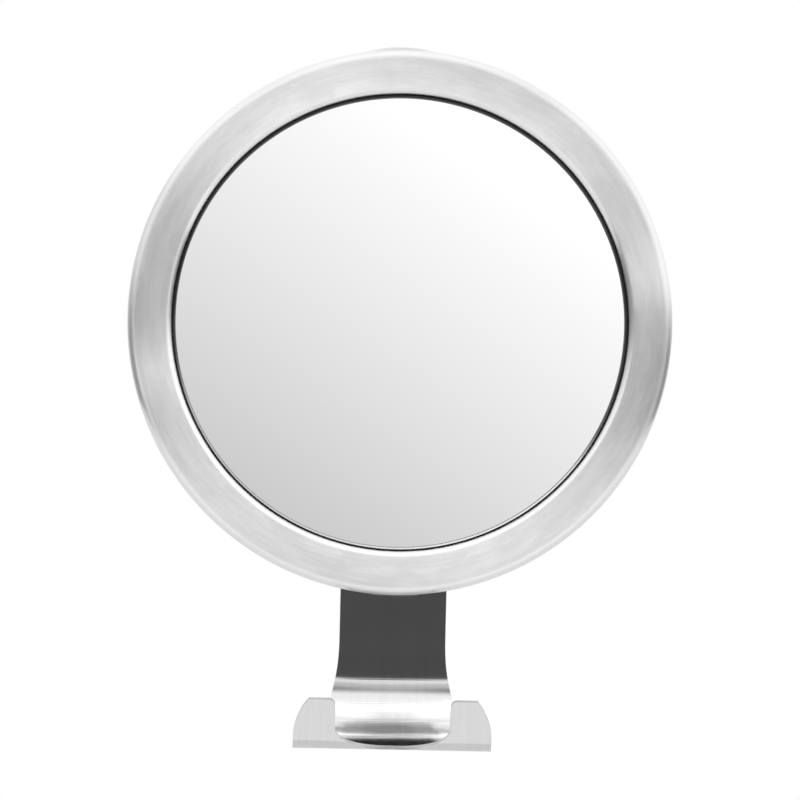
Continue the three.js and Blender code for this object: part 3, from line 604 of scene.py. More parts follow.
def hook_steel():
    """Steel brushed lengthwise along the strip."""
    made, graph = material("hook_steel")
    place = graph.parts(graph.place())
    hair = streaks(graph, place, 60, 4200)
    line = streaks(graph, place, 22, 900)
    grain = hair * 0.5 + line * 0.5
    colour = graph.mix(graph.rise(grain, 0.3, 0.7), grey(0.70), grey(0.75))
    graph.surface(Base_Color=colour, Metallic=1.0, Roughness=0.11 + grain * 0.04, Anisotropic=0.7,
                  Anisotropic_Rotation=0.25, Normal=graph.bump(grain, 0.001 * mm))
    return made


def cut_steel():
    """The hook's sheared edges, coarser and duller than the sheet."""
    made, graph = material("cut_steel")
    grain = graph.noise(graph.place(), 2500, 3, 0.7)
    colour = graph.mix(grain, grey(0.66), grey(0.8))
    graph.surface(Base_Color=colour, Metallic=0.4, Roughness=0.4 + grain * 0.2,
                  Normal=graph.bump(grain, 0.01 * mm))
    return made


def mirror_glass():
    """Silvered glass, with the faintest haze."""
    made, graph = material("mirror_glass")
    haze = graph.noise(graph.place(), 30, 4, 0.6)
    graph.surface(Base_Color=grey(0.953), Metallic=1.0, Roughness=haze * 0.012)
    return made


def seal_black():
    made, graph = material("seal_black")
    dust = graph.noise(graph.place(), 900, 3)
    colour = graph.mix(dust, grey(0.004), grey(0.012))
    graph.surface(Base_Color=colour, Roughness=0.18 + dust * 0.12)
    return made


def moulded(name, dark, pale, roughness, grain_scale, relief):
    """Moulded plastic: a fine grain, a slow change of colour and a rubbed sheen."""
    made, graph = material(name)
    place = graph.place()
    grain = graph.noise(place, grain_scale, 3, 0.6)
    cloud = graph.noise(place, 45, 3)
    colour = graph.mix(graph.rise(cloud * 0.6 + grain * 0.4, 0.3, 0.7), dark, pale)
    graph.surface(Base_Color=colour, Roughness=roughness + cloud * 0.14 + grain * 0.06,
                  Normal=graph.bump(grain, relief))
    return made


def polished(name, dark, pale, roughness):
    """Plain or plated metal with fine handling marks."""
    made, graph = material(name)
    place = graph.place()
    marks = graph.noise(place, 1400, 4, 0.7)
    cloud = graph.noise(place, 120, 3)
    colour = graph.mix(graph.rise(cloud * 0.5 + marks * 0.5, 0.3, 0.7), dark, pale)
    graph.surface(Base_Color=colour, Metallic=1.0, Roughness=roughness + marks * 0.1 + cloud * 0.06,
                  Normal=graph.bump(marks, 0.002 * mm))
    return made


def clear_rubber():
    """Soft clear rubber with a faint blue-green body."""
    made, graph = material("clear_rubber")
    cloud = graph.noise(graph.place(), 150, 3)
    colour = graph.mix(cloud, (0.80, 0.87, 0.88, 1), (0.88, 0.93, 0.935, 1))
    graph.surface(Base_Color=colour, Roughness=0.1 + cloud * 0.12, IOR=1.5, Transmission_Weight=0.82)
    return made


# The steel ring and what it frames
def ring_line(inset, steps):
    """Outer line of the ring's pressed section, moved inwards by inset."""
    lip_centre = ring_radius - ring_width + lip_roll
    edge_centre = ring_radius - edge_roll
    slope_sine = sin(face_slope)
    face_half = (edge_centre - lip_centre + (edge_roll + lip_roll) * slope_sine) / 2
    face_radius = face_half / slope_sine
    face_end = ring_front - face_radius * (1 - cos(face_slope))
    lip_depth = face_end - lip_roll * cos(face_slope)
    edge_depth = face_end - edge_roll * cos(face_slope)
    face_centre = lip_centre - lip_roll * slope_sine + face_half
    lip = arc((lip_centre, lip_depth), lip_roll - inset, half_turn, quarter_turn + face_slope, steps)
    face = arc((face_centre, ring_front - face_radius), face_radius - inset,
               quarter_turn + face_slope, quarter_turn - face_slope, steps)
    edge = arc((edge_centre, edge_depth), edge_roll - inset, quarter_turn - face_slope, 0, steps)
    start = (ring_radius - ring_width + inset, fold_depth)
    return [start, *lip, *face[1:-1], *edge, (ring_radius - inset, ring_back)]


def steel_ring():
    outside = ring_line(0, section_steps)
    inside = ring_line(ring_gauge, arc_steps)
    return lathe("steel_ring", [*outside, *reversed(inside)], ring_sides, crease=25 * degree)


def pane():
    outline = [(0, pane_back), (pane_radius, pane_back), (pane_radius, pane_front - pane_bevel),
               (pane_radius - pane_bevel, pane_front), (0, pane_front)]
    return lathe("pane", outline, ring_sides, crease=20 * degree)


def seal():
    bead_outer = ring_radius - ring_width - seat_gap
    sight = ring_radius - ring_width - seal_sight
    foot = pane_front + seat_gap
    wall = pane_radius + seat_gap
    front = fold_depth - seat_gap
    top = foot + seal_bead_height
    shoulder = top - seal_chamfer * tan(seal_slope)
    bead = rounded([(sight, foot), (sight, shoulder), (sight + seal_chamfer, top), (bead_outer, top),
                    (bead_outer, front)], seal_edge, closed=False)
    skirt = [(wall + seal_wall, front), (wall + seal_wall, pane_back), (wall, pane_back), (wall, foot)]
    return lathe("seal", [*bead, *skirt], ring_sides)


# The hook: a flat blank that is bent along its length
strip_length = hook_top + ring_radius + hook_drop
bend_at = strip_length + sweep_radius * sweep_turn
lip_at = bend_at + bend_radius * bend_turn
hook_length = lip_at + lip_length


def on_hook(along):
    """Depth, height and heading of the bent sheet's middle at a distance from its top."""
    depth, height, heading, left = hook_mid, hook_top, 0, along
    for length, turn in ((strip_length, 0), (sweep_radius * sweep_turn, sweep_turn),
                         (bend_radius * bend_turn, bend_turn), (hook_length, 0)):
        part = min(left, length)
        if turn:
            radius = length / turn
            after = heading + part / radius
            depth += radius * (cos(heading) - cos(after))
            height -= radius * (sin(after) - sin(heading))
            heading = after
        else:
            depth += part * sin(heading)
            height -= part * cos(heading)
        left -= part
    return depth, height, heading


def drift(radius, run):
    """How far an arc has moved sideways after a run along its tangent."""
    return radius - sqrt(max(radius ** 2 - run ** 2, 0))


def blank_half_width(along):
    if along < hook_top_corner:
        return strip_width / 2 - drift(hook_top_corner, hook_top_corner - along)
    run = min(max(along - strip_length + flare_lead, 0), flare_radius)
    flare = strip_width / 2 + drift(flare_radius, run)
    ear = plate_width / 2 - drift(ear_radius, max(along - (hook_length - ear_fall), 0))
    return min(flare, ear)


def notch_share(start, along):
    """Share of the notch's full width: its bottom is a half ellipse as seen from the front."""
    lowest = on_hook(start)[1]
    rise = (on_hook(along)[1] - lowest) / (on_hook(start + notch_round)[1] - lowest)
    return sqrt(max(1 - (1 - rise) ** 2, 0))


def blank_outline():
    """The flat blank, as (right, down) points, with its notch."""
    corner = [hook_top_corner * (1 - cos(t)) for t in steps_between(0, quarter_turn, corner_steps)]
    flare = steps_between(strip_length - flare_lead, bend_at, sweep_steps)
    ear = [hook_length - ear_fall * (1 - sin(t)) for t in steps_between(0, quarter_turn, ear_steps)]
    side = [(blank_half_width(s), s) for s in sorted({*corner, *flare, *ear})]
    half = notch_width / 2
    start = bend_at + notch_past_bend
    mouth = [(half + drift(notch_fillet, notch_fillet - gone), hook_length - gone)
             for gone in [notch_fillet * (1 - cos(t)) for t in steps_between(0, quarter_turn, coarse)]]
    falling = [start + notch_round * t * t for t in steps_between(1, 0, notch_steps)]
    bottom = [(half * notch_share(start, along), along) for along in falling]
    right = [*side, *mouth, *bottom]
    left = [(-x, s) for x, s in reversed(right[:-1])]
    return right + left


def hook_holes():
    """The blank's two screw holes, as (right, down) points."""
    return [arc((0, down), hook_hole, full_turn, 0, hole_sides)[:-1] for down in hook_screws_from_top]


def razor_hook():
    """The blank, sliced across where it bends, with its points then carried onto the bent line."""
    outlines = [[(x, -s) for x, s in outline] for outline in (blank_outline(), *hook_holes())]
    hook = rounded_plate("hook", outlines, hook_gauge, hook_edge)
    sweep = steps_between(strip_length, bend_at, sweep_steps)
    bend = steps_between(bend_at, lip_at, bend_steps)
    work = bmesh.new()
    work.from_mesh(hook.data)
    for face in work.faces:
        face.material_index = int(abs(face.normal.z) < cut_face)
    for along in [*sweep, *bend[1:]]:
        parts = [*work.verts, *work.edges, *work.faces]
        bmesh.ops.bisect_plane(work, geom=parts, plane_co=(0, -along, 0), plane_no=(0, 1, 0),
                               dist=slice_width)
    for vert in work.verts:
        right, down, lift = vert.co
        depth, height, heading = on_hook(-down)
        vert.co = (height + lift * sin(heading), depth + lift * cos(heading), right)
    work.to_mesh(hook.data)
    work.free()
    hook.matrix_world = lengthwise
    clean(hook, 30 * degree)
    return hook


# The back of the head
def shell_line(wall):
    dome = [(shell_flat_radius + (shell_radius - wall - shell_flat_radius) * a,
             shell_back + shell_dome + (shell_dome - wall) * b)
            for a, b in arc((0, 0), 1, -quarter_turn, 0, 2 * fine)]
    return [(0, shell_back + wall), *dome, (shell_radius - wall, shell_front)]


def rear_shell():
    outline = [*shell_line(0), *reversed(shell_line(shell_wall))]
    dish = lathe("back_shell", outline, ring_sides)
    pad_foot = -shell_radius + pad_foot_inset
    pad_top = hook_top + pad_margin
    pad = block(pad_width, pad_top - pad_foot, shell_back + lap, shell_back + pocket_depth + pad_floor, 0,
                (pad_top + pad_foot) / 2)
    pillars = [rod(shell_pillar_radius, shell_back + shell_pillar_back, shell_front, x, y)
               for x, y in around(4, shell_screw_circle - shell_pillar_inset, diagonal)]
    shape_with(dish, [pad, *pillars], "UNION")
    pocket_foot = -shell_radius - 2 * overrun
    pocket_top = hook_top + pocket_play
    pocket = block(strip_width + 2 * pocket_play, pocket_top - pocket_foot, shell_back - overrun,
                   shell_back + pocket_depth, 0, (pocket_top + pocket_foot) / 2)
    heads = [rod(shell_head_hole, shell_back - overrun, shell_front - shell_pillar_floor, x, y)
             for x, y in around(4, shell_screw_circle, diagonal)]
    return shape_with(dish, [pocket, *heads])


# The ball joint
ball_depth = stud_front - ball_radius


def ball_socket():
    flange = socket_front - socket_flange
    bore = arc((0, ball_depth), socket_bore, quarter_turn, 0, section_steps)
    bore[0] = (0, bore[0][1])
    rim = rounded([(socket_bore, ball_depth), (socket_bore, socket_back), (socket_radius, socket_back),
                   (socket_radius, flange), (socket_flange_radius, flange),
                   (socket_flange_radius, socket_front), (0, socket_front)], moulded_edge, closed=False)
    return lathe("socket", [*bore[:-1], *rim], small_sides)


def fluted(radius, depth, angle):
    """Radius of the clamp ring's rim where a flute bites into it."""
    if radius < socket_radius + flute_from:
        return radius
    pitch = full_turn / clamp_flutes
    off = (angle + pitch / 2) % pitch - pitch / 2
    circle = clamp_radius + flute_radius - flute_bite
    side = circle * sin(off)
    if abs(side) >= flute_radius:
        return radius
    return min(radius, circle * cos(off) - sqrt(flute_radius ** 2 - side ** 2))


def clamp_ring():
    lip = liner_radius + seat_gap
    shoulder = socket_back - seat_gap
    bore = socket_radius + run_gap
    start = asin((shoulder - ball_depth) / lip)
    mouth = arc((0, ball_depth), lip, start, -quarter_turn + mouth_turn, arc_steps)
    rim = rounded([mouth[-1], ((ball_depth - clamp_back) * tan(mouth_turn), clamp_back),
                   (clamp_back_radius, clamp_back), (clamp_radius, clamp_back + clamp_taper),
                   (clamp_radius, clamp_front), (bore, clamp_front), (bore, shoulder)],
                  moulded_edge, closed=False)
    return lathe("clamp", [*mouth[:-1], *rim], flute_sides * clamp_flutes, fluted)


def ball_stud():
    collar = washer_front + seat_gap
    collar_top = collar + collar_thickness
    neck = asin(stud_neck_radius / ball_radius)
    shank = rounded([(0, stud_back), (shank_radius, stud_back), (shank_radius, collar),
                     (collar_radius, collar), (collar_radius, collar_top),
                     (stud_neck_radius + neck_fillet_width, collar_top + neck_fillet_foot),
                     (stud_neck_radius, collar_top + neck_fillet_top)], stud_edge, closed=False)
    ball = arc((0, ball_depth), ball_radius, -quarter_turn + neck, quarter_turn, ball_steps)
    ball[-1] = (0, ball[-1][1])
    return lathe("stud", [*shank, *ball], small_sides)


def ball_liner():
    mouth = -quarter_turn + mouth_turn
    inner = arc((0, ball_depth), liner_radius - liner_wall, quarter_turn, mouth, bowl_steps)
    outer = arc((0, ball_depth), liner_radius, mouth, quarter_turn, bowl_steps)
    inner[0] = (0, inner[0][1])
    outer[-1] = (0, outer[-1][1])
    bowl = lathe("liner", [*inner, *outer], small_sides)
    length = 2 * (liner_radius + overrun)
    back, front = liner_back - overrun, ball_depth + liner_slot_past_centre
    slots = [block(length, liner_slot, back, front), block(liner_slot, length, back, front)]
    return shape_with(bowl, slots)


def washer():
    bore = shank_radius + run_gap
    outline = rounded([(bore, washer_back), (washer_radius, washer_back), (washer_radius, washer_front),
                       (bore, washer_front)], washer_edge)
    return lathe("washer", outline, small_sides)


# The wall mount
def front_cap():
    web = cap_back + cap_recess
    bore = shank_radius + run_gap
    edge = arc((cap_radius - cap_edge, cap_front - cap_edge), cap_edge, 0, quarter_turn)
    outline = [(cap_recess_radius, cap_back), (cap_radius, cap_back), *edge, (bore, cap_front), (bore, web),
               (cap_recess_radius, web)]
    cap = lathe("cap", outline, small_sides)
    seat = cap_front - cap_well
    places = around(3, cap_screw_circle, quarter_turn)
    wells = [rod(cap_well_radius, seat, cap_front + overrun, x, y) for x, y in places]
    shafts = [rod(cap_hole, cap_back - overrun, seat + overrun, x, y) for x, y in places]
    return shape_with(cap, wells + shafts)


def paddle_outline():
    """The lever's paddle: it widens from the ring to a rounded tip."""
    root_height = (neck_radius + lever_groove_radius) / 2
    root, tip = root_width / 2, tip_width / 2
    centre = lever_reach - tip_radius
    half = asin((tip - tip_corner / 2) / tip_radius)
    arc_end = centre + tip_radius * cos(half)
    middle = (root_height + arc_end) / 2
    side_end = (tip, arc_end - tip_corner)
    right = [*blend((root, root_height), (root, middle), side_end, side_steps),
             *blend(side_end, (tip, arc_end), (tip - tip_corner / 2, arc_end), side_steps)[1:],
             *arc((0, centre), tip_radius, quarter_turn - half, quarter_turn, corner_steps)[1:]]
    return right + [(-x, y) for x, y in reversed(right[:-1])]


def grip_rib(height):
    """A round-ended rib across the paddle's face."""
    round_end = grip_rib_width / 2
    centre = grip_rib_length / 2 - round_end
    outline = [*arc((centre, 0), round_end, -quarter_turn, quarter_turn, arc_steps),
               *arc((-centre, 0), round_end, quarter_turn, 3 * quarter_turn, arc_steps)]
    rib = rounded_plate("rib", [outline], 2 * grip_rib_height, grip_rib_edge, steps=3)
    shift(rib, 0, height, paddle_front)
    return rib


def twist_lever():
    web = lever_back + lever_floor
    ring = rounded([(lever_bore, lever_back), (lever_ring_radius, lever_back),
                    (lever_ring_radius, lever_front), (lever_groove_radius, lever_front),
                    (lever_groove_radius, web), (lever_bore, web)], lever_edge)
    lever = lathe("lever", ring, small_sides)
    paddle = rounded_plate("paddle", [paddle_outline()], paddle_thickness, paddle_edge, steps=4)
    shift(paddle, 0, 0, paddle_front - paddle_thickness / 2)
    ribs = [grip_rib(lever_reach - grip_rib_from_tip - i * grip_rib_pitch) for i in range(grip_ribs)]
    core = rod(lever_groove_radius + paddle_foot, lever_back - overrun, cap_front, sides=small_sides)
    shape_with(paddle, ribs, "UNION")
    shape_with(paddle, [core])
    return shape_with(lever, [paddle], "UNION")


def base_bell():
    deck = lever_back - seat_gap
    rise = deck - bell_rim - bell_skirt
    dome = [(bell_shoulder + (bell_radius - bell_shoulder) * a, bell_rim + bell_skirt + rise * b)
            for a, b in arc((0, 0), 1, 0, quarter_turn, bowl_steps)]
    inner = bell_radius - bell_wall
    ceiling = deck - bell_deck
    outline = [(stem_hole, ceiling), (bell_hub, ceiling), (bell_hub, cup_boss_foot + bell_hub_foot),
               (inner, bell_rim + bell_foot), (inner, bell_rim), (bell_radius - moulded_edge, bell_rim),
               (bell_radius, bell_rim + moulded_edge), *dome, (neck_radius, deck),
               (neck_radius, neck_front), (stem_hole, neck_front)]
    return lathe("bell", outline, small_sides * 2)


def suction_cup():
    knee = cup_radius - cup_knee_inset
    pocket = cup_hollow + cup_skin
    top = cup_front - cup_lip
    rim = rounded([(cup_radius - cup_seal, 0), (cup_radius, 0), (cup_radius, cup_rim), (knee, cup_knee),
                   (cup_boss + cup_lip, cup_boss_foot), (cup_boss, cup_boss_foot + cup_lip),
                   (cup_boss, cup_front), (cup_mouth, cup_front), (cup_mouth, top), (plate_room, top),
                   (plate_room, pocket)], cup_edge, closed=False)
    hollow = [(0, cup_hollow), (cup_boss, cup_hollow * cup_hollow_share)]
    cup = lathe("cup", [*hollow, *rim, (0, pocket)], small_sides * 2)
    return shape_with(cup, [pull_tab()], "UNION")


def pull_tab():
    """The tab at the cup's lower edge that breaks its seal."""
    side, root = tab_width / 2, tab_lap - cup_radius
    right, foot = side - tab_corner, tab_corner - cup_radius - tab_length
    outline = [(side, root), (-side, root),
               *arc((-right, foot), tab_corner, half_turn, 3 * quarter_turn, arc_steps),
               *arc((right, foot), tab_corner, -quarter_turn, 0, arc_steps)]
    tab = rounded_plate("tab", [outline], tab_thickness, moulded_edge, steps=3)
    shift(tab, 0, 0, tab_thickness / 2)
    return tab


def screw_mesh(name, head_radius, head_height, shank, length):
    """A pan-head screw along the depth: its head lies behind 0 and its shank before it."""
    crown = arc((0, 0), 1, -quarter_turn, 0, arc_steps)
    head = [(head_radius * (screw_crown + (1 - screw_crown) * a),
             -head_height * (screw_rim - (1 - screw_rim) * b)) for a, b in crown]
    outline = [(0, -head_height), *head, (head_radius, 0), (shank, 0), (shank, length - screw_point),
               (shank * screw_tip, length), (0, length)]
    screw = lathe(name, outline, screw_sides)
    arm, slot = head_radius * cross_length, head_radius * cross_width
    back, floor = -head_height - overrun, -head_height * cross_floor
    return shape_with(screw, [block(arm, slot, back, floor), block(slot, arm, back, floor)])


def screws(name, places, depth, sizes, body, to_front=False):
    """A set of alike screws, each turned by its own angle and standing for its CAD node."""
    for i, (right, up) in enumerate(places):
        screw = screw_mesh(f"{name}_{i + 1}_fine", *sizes)
        if to_front:
            screw.data.transform(Matrix.Rotation(half_turn, 4, "X"))
        turned = (screw_turn + screw_turn_step * i) % quarter_turn
        screw.data.transform(Matrix.Rotation(turned, 4, "Z"))
        shift(screw, right, up, depth)
        finish_piece(screw, body, "screw_steel", f"{name}_{i + 1}")


# Finishes by slot
finishes = {
    "bezel_steel": ring_steel(),
    "hook_steel": hook_steel(),
    "mirror": mirror_glass(),
    "seal_rubber": seal_black(),
    "shell_plastic": moulded("shell_plastic", grey(0.66), grey(0.74), 0.42, 2600, 0.02 * mm),
    "white_plastic": moulded("white_plastic", grey(0.84), grey(0.90), 0.3, 1500, 0.004 * mm),
    "black_plastic": moulded("black_plastic", grey(0.02), grey(0.04), 0.4, 2600, 0.015 * mm),
    "foam": moulded("foam", grey(0.03), grey(0.07), 0.8, 1800, 0.1 * mm),
    "ball_chrome": polished("chrome", (0.74, 0.75, 0.76, 1), (0.82, 0.83, 0.84, 1), 0.04),
    "screw_steel": polished("screw_steel", (0.5, 0.51, 0.52, 1), (0.66, 0.67, 0.68, 1), 0.22),
    "cup_rubber": clear_rubber(),
}

# Pieces
finish_piece(steel_ring(), "head", "bezel_steel", "bezel_ring")
finish_piece(pane(), "head", "mirror", "mirror_pane")
finish_piece(seal(), "head", "seal_rubber", "mirror_gasket")
hook = finish_piece(razor_hook(), "head", "hook_steel", "razor_hook")
hook.data.materials.append(cut_steel())
finish_piece(rear_shell(), "head", "shell_plastic", "rear_shell")
finish_piece(ball_socket(), "head", "shell_plastic", "ball_socket")
finish_piece(clamp_ring(), "clamp", "white_plastic", "clamp_ring")
finish_piece(ball_liner(), "liner", "black_plastic", "ball_liner")
finish_piece(ball_stud(), "stud", "ball_chrome", "ball_stud")
finish_piece(washer(), "stud", "black_plastic", "stud_washer")
finish_piece(front_cap(), "wall_mount", "white_plastic", "front_cap")
finish_piece(twist_lever(), "lever", "white_plastic", "twist_lever")
finish_piece(base_bell(), "wall_mount", "white_plastic", "base_bell")
finish_piece(suction_cup(), "wall_mount", "cup_rubber", "suction_cup")

screws("shell_screw", around(4, shell_screw_circle, diagonal),
       shell_front - shell_pillar_floor - seat_gap, shell_screw, "head")
screws("socket_screw", around(4, socket_screw_circle, diagonal),
       socket_front - socket_flange - seat_gap, socket_screw, "head")
screws("hook_screw", [(0, hook_top - down) for down in hook_screws_from_top],
       hook_mid - hook_gauge - seat_gap, hook_screw, "head")
screws("cap_screw", around(3, cap_screw_circle, quarter_turn), cap_front - cap_screw[1], cap_screw,
       "wall_mount", to_front=True)

# Pieces that keep the CAD's mesh
for node, slot in (("foam_pad", "foam"), ("carrier_ring", "black_plastic"), ("stud_nut", "screw_steel"),
                   ("pull_stem", "black_plastic"), ("cross_pin", "screw_steel")):
    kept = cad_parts[node]
    kept.data.materials.clear()
    kept.data.materials.append(finishes[slot])


# Studio
aim_right, aim_up = 44 * mm, 68 * mm  # where the cards of the ring and the pane point
ring_card_rise = 0.5  # how far the ring's card is raised, which its shade takes back
hook_card_elevation = 80 * degree
hook_card_distance = 1
floor_radius = 0.8
floor_thickness = 2 * mm
floor_height = -0.25
floor_sides = 64

# Sectors of the ring's card: middle, half angle at full strength, half angle at none (all in
# degrees), and what the sector adds
face_sectors = ((113, 9, 28, 0.27), (168, 17, 24, -0.44), (12.3, 2.5, 6, 0.85), (27, 6, 13, -0.23))
rim_sectors = ((191, 11, 24, -0.55), (351, 9, 18, -0.35))

# Bands of the hook's card: start, full, fade and end of each in degrees, and its brightness
hook_bands = (((32, 37, 45, 54), 0.58), ((34, 37.5, 38.5, 43), 0.4), ((50, 58, 66, 76), 0.12))


def sector(graph, angle, middle, inner, outer, period=full_turn):
    """1 within a half angle of a middle and 0 outside a wider one; the three are in degrees."""
    off = graph.math("WRAP", angle - middle * degree, period / 2, -period / 2)
    return 1 - graph.rise(graph.math("ABSOLUTE", off), inner * degree, outer * degree)


def studio_world():
    """The room by direction: pale, brighter above, darker beside the object and dark behind the camera.

    The camera itself sees plain white.
    """
    world = bpy.data.worlds.new("studio")
    bpy.context.scene.world = world
    graph = Graph(world)
    x, y, z = graph.parts(graph.add("TexCoord", output="Generated"))
    ahead = graph.math("ARCTAN2", graph.math("ABSOLUTE", x), y * -1)
    elevation = graph.math("ARCSINE", z)
    room = band(graph, elevation, -16 * degree, -13 * degree, 46 * degree, 57 * degree)
    room = room * (1 - graph.rise(ahead, 44 * degree, 50 * degree))
    round_axis = graph.math("ARCTAN2", z, x)
    beside = 1 - graph.rise(y, 0, 0.5)
    left_flag = sector(graph, round_axis, 192, 8, 34) * 0.7
    right_flag = sector(graph, round_axis, 350, 6, 20) * 0.75
    level = 0.8 + sector(graph, round_axis, 77, 62, 76) * 0.24
    level = level * (1 - beside * graph.math("MAXIMUM", left_flag, right_flag))
    level = level + room * (0.084 - level)
    strength = level + seen_directly(graph) * (1 - level)
    background = graph.add("Background", inputs={"Color": grey(1), "Strength": strength})
    graph.add("OutputWorld", inputs={"Surface": background})


def seen_directly(graph):
    """1 for what the camera sees, also through the clear cup, and 0 for reflections and light."""
    direct = graph.add("LightPath", output="Is Camera Ray")
    through = graph.add("LightPath", output="Is Transmission Ray")
    return graph.math("MAXIMUM", direct, through)


def studio_floor():
    """A round pale floor well under the object, fading into the white room."""
    foot = -floor_thickness
    floor = lathe("floor", [(0, foot), (floor_radius, foot), (floor_radius, 0), (0, 0)], floor_sides)
    floor.matrix_world = Matrix.Translation((0, 0, floor_height))
    made, graph = material("pale_floor")
    x, y, _ = graph.parts(graph.place())
    far = graph.rise((x * x + y * y) ** 0.5, 0.2, 0.5)
    diffuse = graph.add("BsdfDiffuse", inputs={"Color": grey(0.93)})
    white = graph.add("Emission", inputs={"Color": grey(1), "Strength": 1.0})
    mixed = graph.add("MixShader", inputs={0: far * seen_directly(graph), 1: diffuse, 2: white})
    graph.add("OutputMaterial", inputs={"Surface": mixed})
    floor.data.materials.append(made)
    floor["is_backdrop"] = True


def card(name, pieces, size, level, elevation=quarter_turn, distance=0, centre=(0, 0, 0), shade=None,
         turn=0, spread=half_turn):
    """A soft card of light for the named pieces alone.

    It hangs at a distance and an elevation in front of a centre and faces it, or faces down at the
    centre itself, and is then turned. A shade gives its brightness over its face.
    """
    width, height = size
    lamp = bpy.data.lights.new(name, "AREA")
    lamp.shape = "RECTANGLE"
    lamp.size = width
    lamp.size_y = height
    lamp.energy = level * pi * width * height
    lamp.spread = spread
    holder = add_object(name, lamp)
    holder.location = Vector(centre) + distance * Vector((0, -cos(elevation), sin(elevation)))
    holder.rotation_euler = (quarter_turn - elevation, turn, 0)
    holder.visible_camera = False
    lit = bpy.data.collections.new(name + "_lit")
    for piece in pieces:
        lit.objects.link(bpy.data.objects[piece])
    holder.light_linking.receiver_collection = lit
    if shade:
        graph = Graph(lamp)
        across, up, _ = graph.parts(graph.add("NewGeometry", output="Parametric"))
        strength = shade(graph, (across - 0.5) * width, (up - 0.5) * height)
        emission = graph.add("Emission", inputs={"Color": grey(1), "Strength": strength})
        graph.add("OutputLight", inputs={"Surface": emission})


def ring_shade(graph, across, up):
    """Brightness by the angle round the ring's axis, which the brushed ring shows as fans.

    The middle, for the ring's face, is alike on opposite sides but for a slow fall to the top. The
    outside, for the rolled rim, has a dark sector at the left and at the right.
    """
    up = up + ring_card_rise
    angle = graph.math("ARCTAN2", up, across)
    face = 0.8
    for middle, inner, outer, gain in face_sectors:
        face = face + sector(graph, angle, middle, inner, outer, half_turn) * gain
    face = face * (1.25 - graph.rise(up, -0.6, 0.7) * 0.5)
    rim = 0.7 + graph.rise(up, -0.3, 0.3) * 0.3
    for middle, inner, outer, gain in rim_sectors:
        rim = rim + sector(graph, angle, middle, inner, outer) * gain
    return face + graph.rise((across * across + up * up) ** 0.5, 0.8, 1.3) * (rim - face)


def pane_shade(graph, across, up):
    """White at the upper right, falling evenly to grey at the lower left."""
    slope = across * cos(57 * degree) + up * sin(57 * degree)
    level = 0.785 + slope * 0.953
    return graph.math("MINIMUM", graph.math("MAXIMUM", level, 0.45), 1.02)


def seal_shade(graph, across, _):
    """Brighter to the left, so that the seal's chamfer shines most at the bottom and right of it."""
    return 1.35 - graph.rise(across, -1.4, 0.2) * 0.55


def stripe_shade(graph, across, _):
    """A soft stripe along the card's middle."""
    return band(graph, across, -18 * mm, -5 * mm, 5 * mm, 18 * mm)


def hook_shade(graph, _, up):
    """Brightness by elevation: a light band with a brighter line low in it, and a faint band above."""
    turn = graph.math("ARCTANGENT", up / hook_card_distance) + hook_card_elevation
    return sum(band(graph, turn, *(edge * degree for edge in edges)) * gain for edges, gain in hook_bands)


def trough_shade(graph, _, up):
    """Brightest near the card's front edge, fading to the wall."""
    return band(graph, up, -5 * mm, -3.1 * mm, -1.4 * mm, 5 * mm)


def strip_shade(graph, _, up):
    """A light line across the card's middle."""
    return band(graph, up, -1.15 * mm, -0.25 * mm, 0.25 * mm, 1.15 * mm)


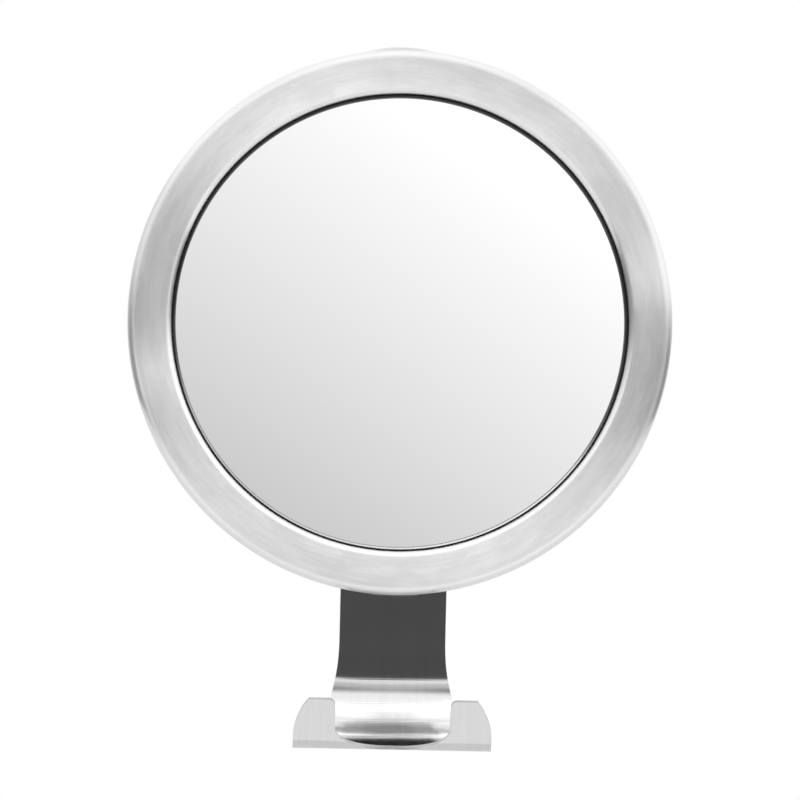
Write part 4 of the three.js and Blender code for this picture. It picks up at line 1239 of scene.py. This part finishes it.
studio_world()
studio_floor()
own_cards = ("steel_ring", "hook", "pane", "seal")
soft_pieces = [piece.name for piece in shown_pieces() if piece.name not in own_cards]
ring_only, hook_only = ["steel_ring"], ["hook"]
card("front_card", soft_pieces, size=(3, 3), level=0.7, elevation=10 * degree, distance=2.2)
card("lever_card", ["lever"], size=(1.5, 1), level=0.5, elevation=65 * degree, distance=1.2)
card("ring_card", ring_only, size=(4.8, 5), level=1, elevation=0, distance=2.2,
     centre=(aim_right, 0, aim_up + ring_card_rise), shade=ring_shade)
card("lip_card", ring_only, size=(0.12, 0.12), level=0.45, centre=(-0.03, -0.15, 0.005),
     turn=20 * degree, spread=140 * degree)
card("left_card", ring_only, size=(0.036, 0.2), level=0.55, centre=(0.05, -0.2, -0.005),
     shade=stripe_shade, turn=quarter_turn)
card("right_card", ring_only, size=(0.036, 0.2), level=0.25, centre=(-0.05, -0.2, 0.03),
     shade=stripe_shade, turn=-quarter_turn)
card("pane_card", ["pane"], size=(3, 3), level=1, elevation=0, distance=2.2,
     centre=(aim_right, 0, aim_up), shade=pane_shade)
card("seal_card", ["seal"], size=(5, 1.2), level=14, elevation=75 * degree, distance=1.2,
     centre=(1, 0, 0), shade=seal_shade)
card("hook_card", hook_only, size=(1.6, 3), level=1, elevation=hook_card_elevation,
     distance=hook_card_distance, centre=(0, -0.08, -0.12), shade=hook_shade)
card("ear_card", hook_only, size=(0.6, 0.1), level=0.16, elevation=-36 * degree, distance=0.18,
     centre=(0, -0.09, -0.115))
card("trough_card", hook_only, size=(0.12, 10 * mm), level=0.9,
     centre=(0, -hook_mid - 7.2 * mm, -99.5 * mm), shade=trough_shade)
card("strip_card", hook_only, size=(0.12, 2.6 * mm), level=1.05, elevation=half_turn,
     centre=(0, -hook_mid - 8 * mm, -116.05 * mm), shade=strip_shade)


def photo_camera():
    """The photograph's camera. Its place, direction and roll were fitted to the ring and the hook."""
    camera = add_object("camera", bpy.data.cameras.new("camera"))
    camera.data.lens = lens
    camera.data.clip_start = 0.01
    ahead = Vector((sin(camera_azimuth) * cos(camera_elevation),
                    cos(camera_azimuth) * cos(camera_elevation), sin(camera_elevation)))
    level_right = ahead.cross(Vector((0, 0, 1))).normalized()
    level_up = level_right.cross(ahead)
    right = level_right * cos(camera_roll) + level_up * sin(camera_roll)
    up = level_up * cos(camera_roll) - level_right * sin(camera_roll)
    turn = Matrix((right, up, -ahead)).transposed().to_4x4()
    camera.matrix_world = Matrix.Translation(camera_place) @ turn
    bpy.context.scene.camera = camera


photo_camera()
bpy.context.scene.view_settings.view_transform = "Standard"
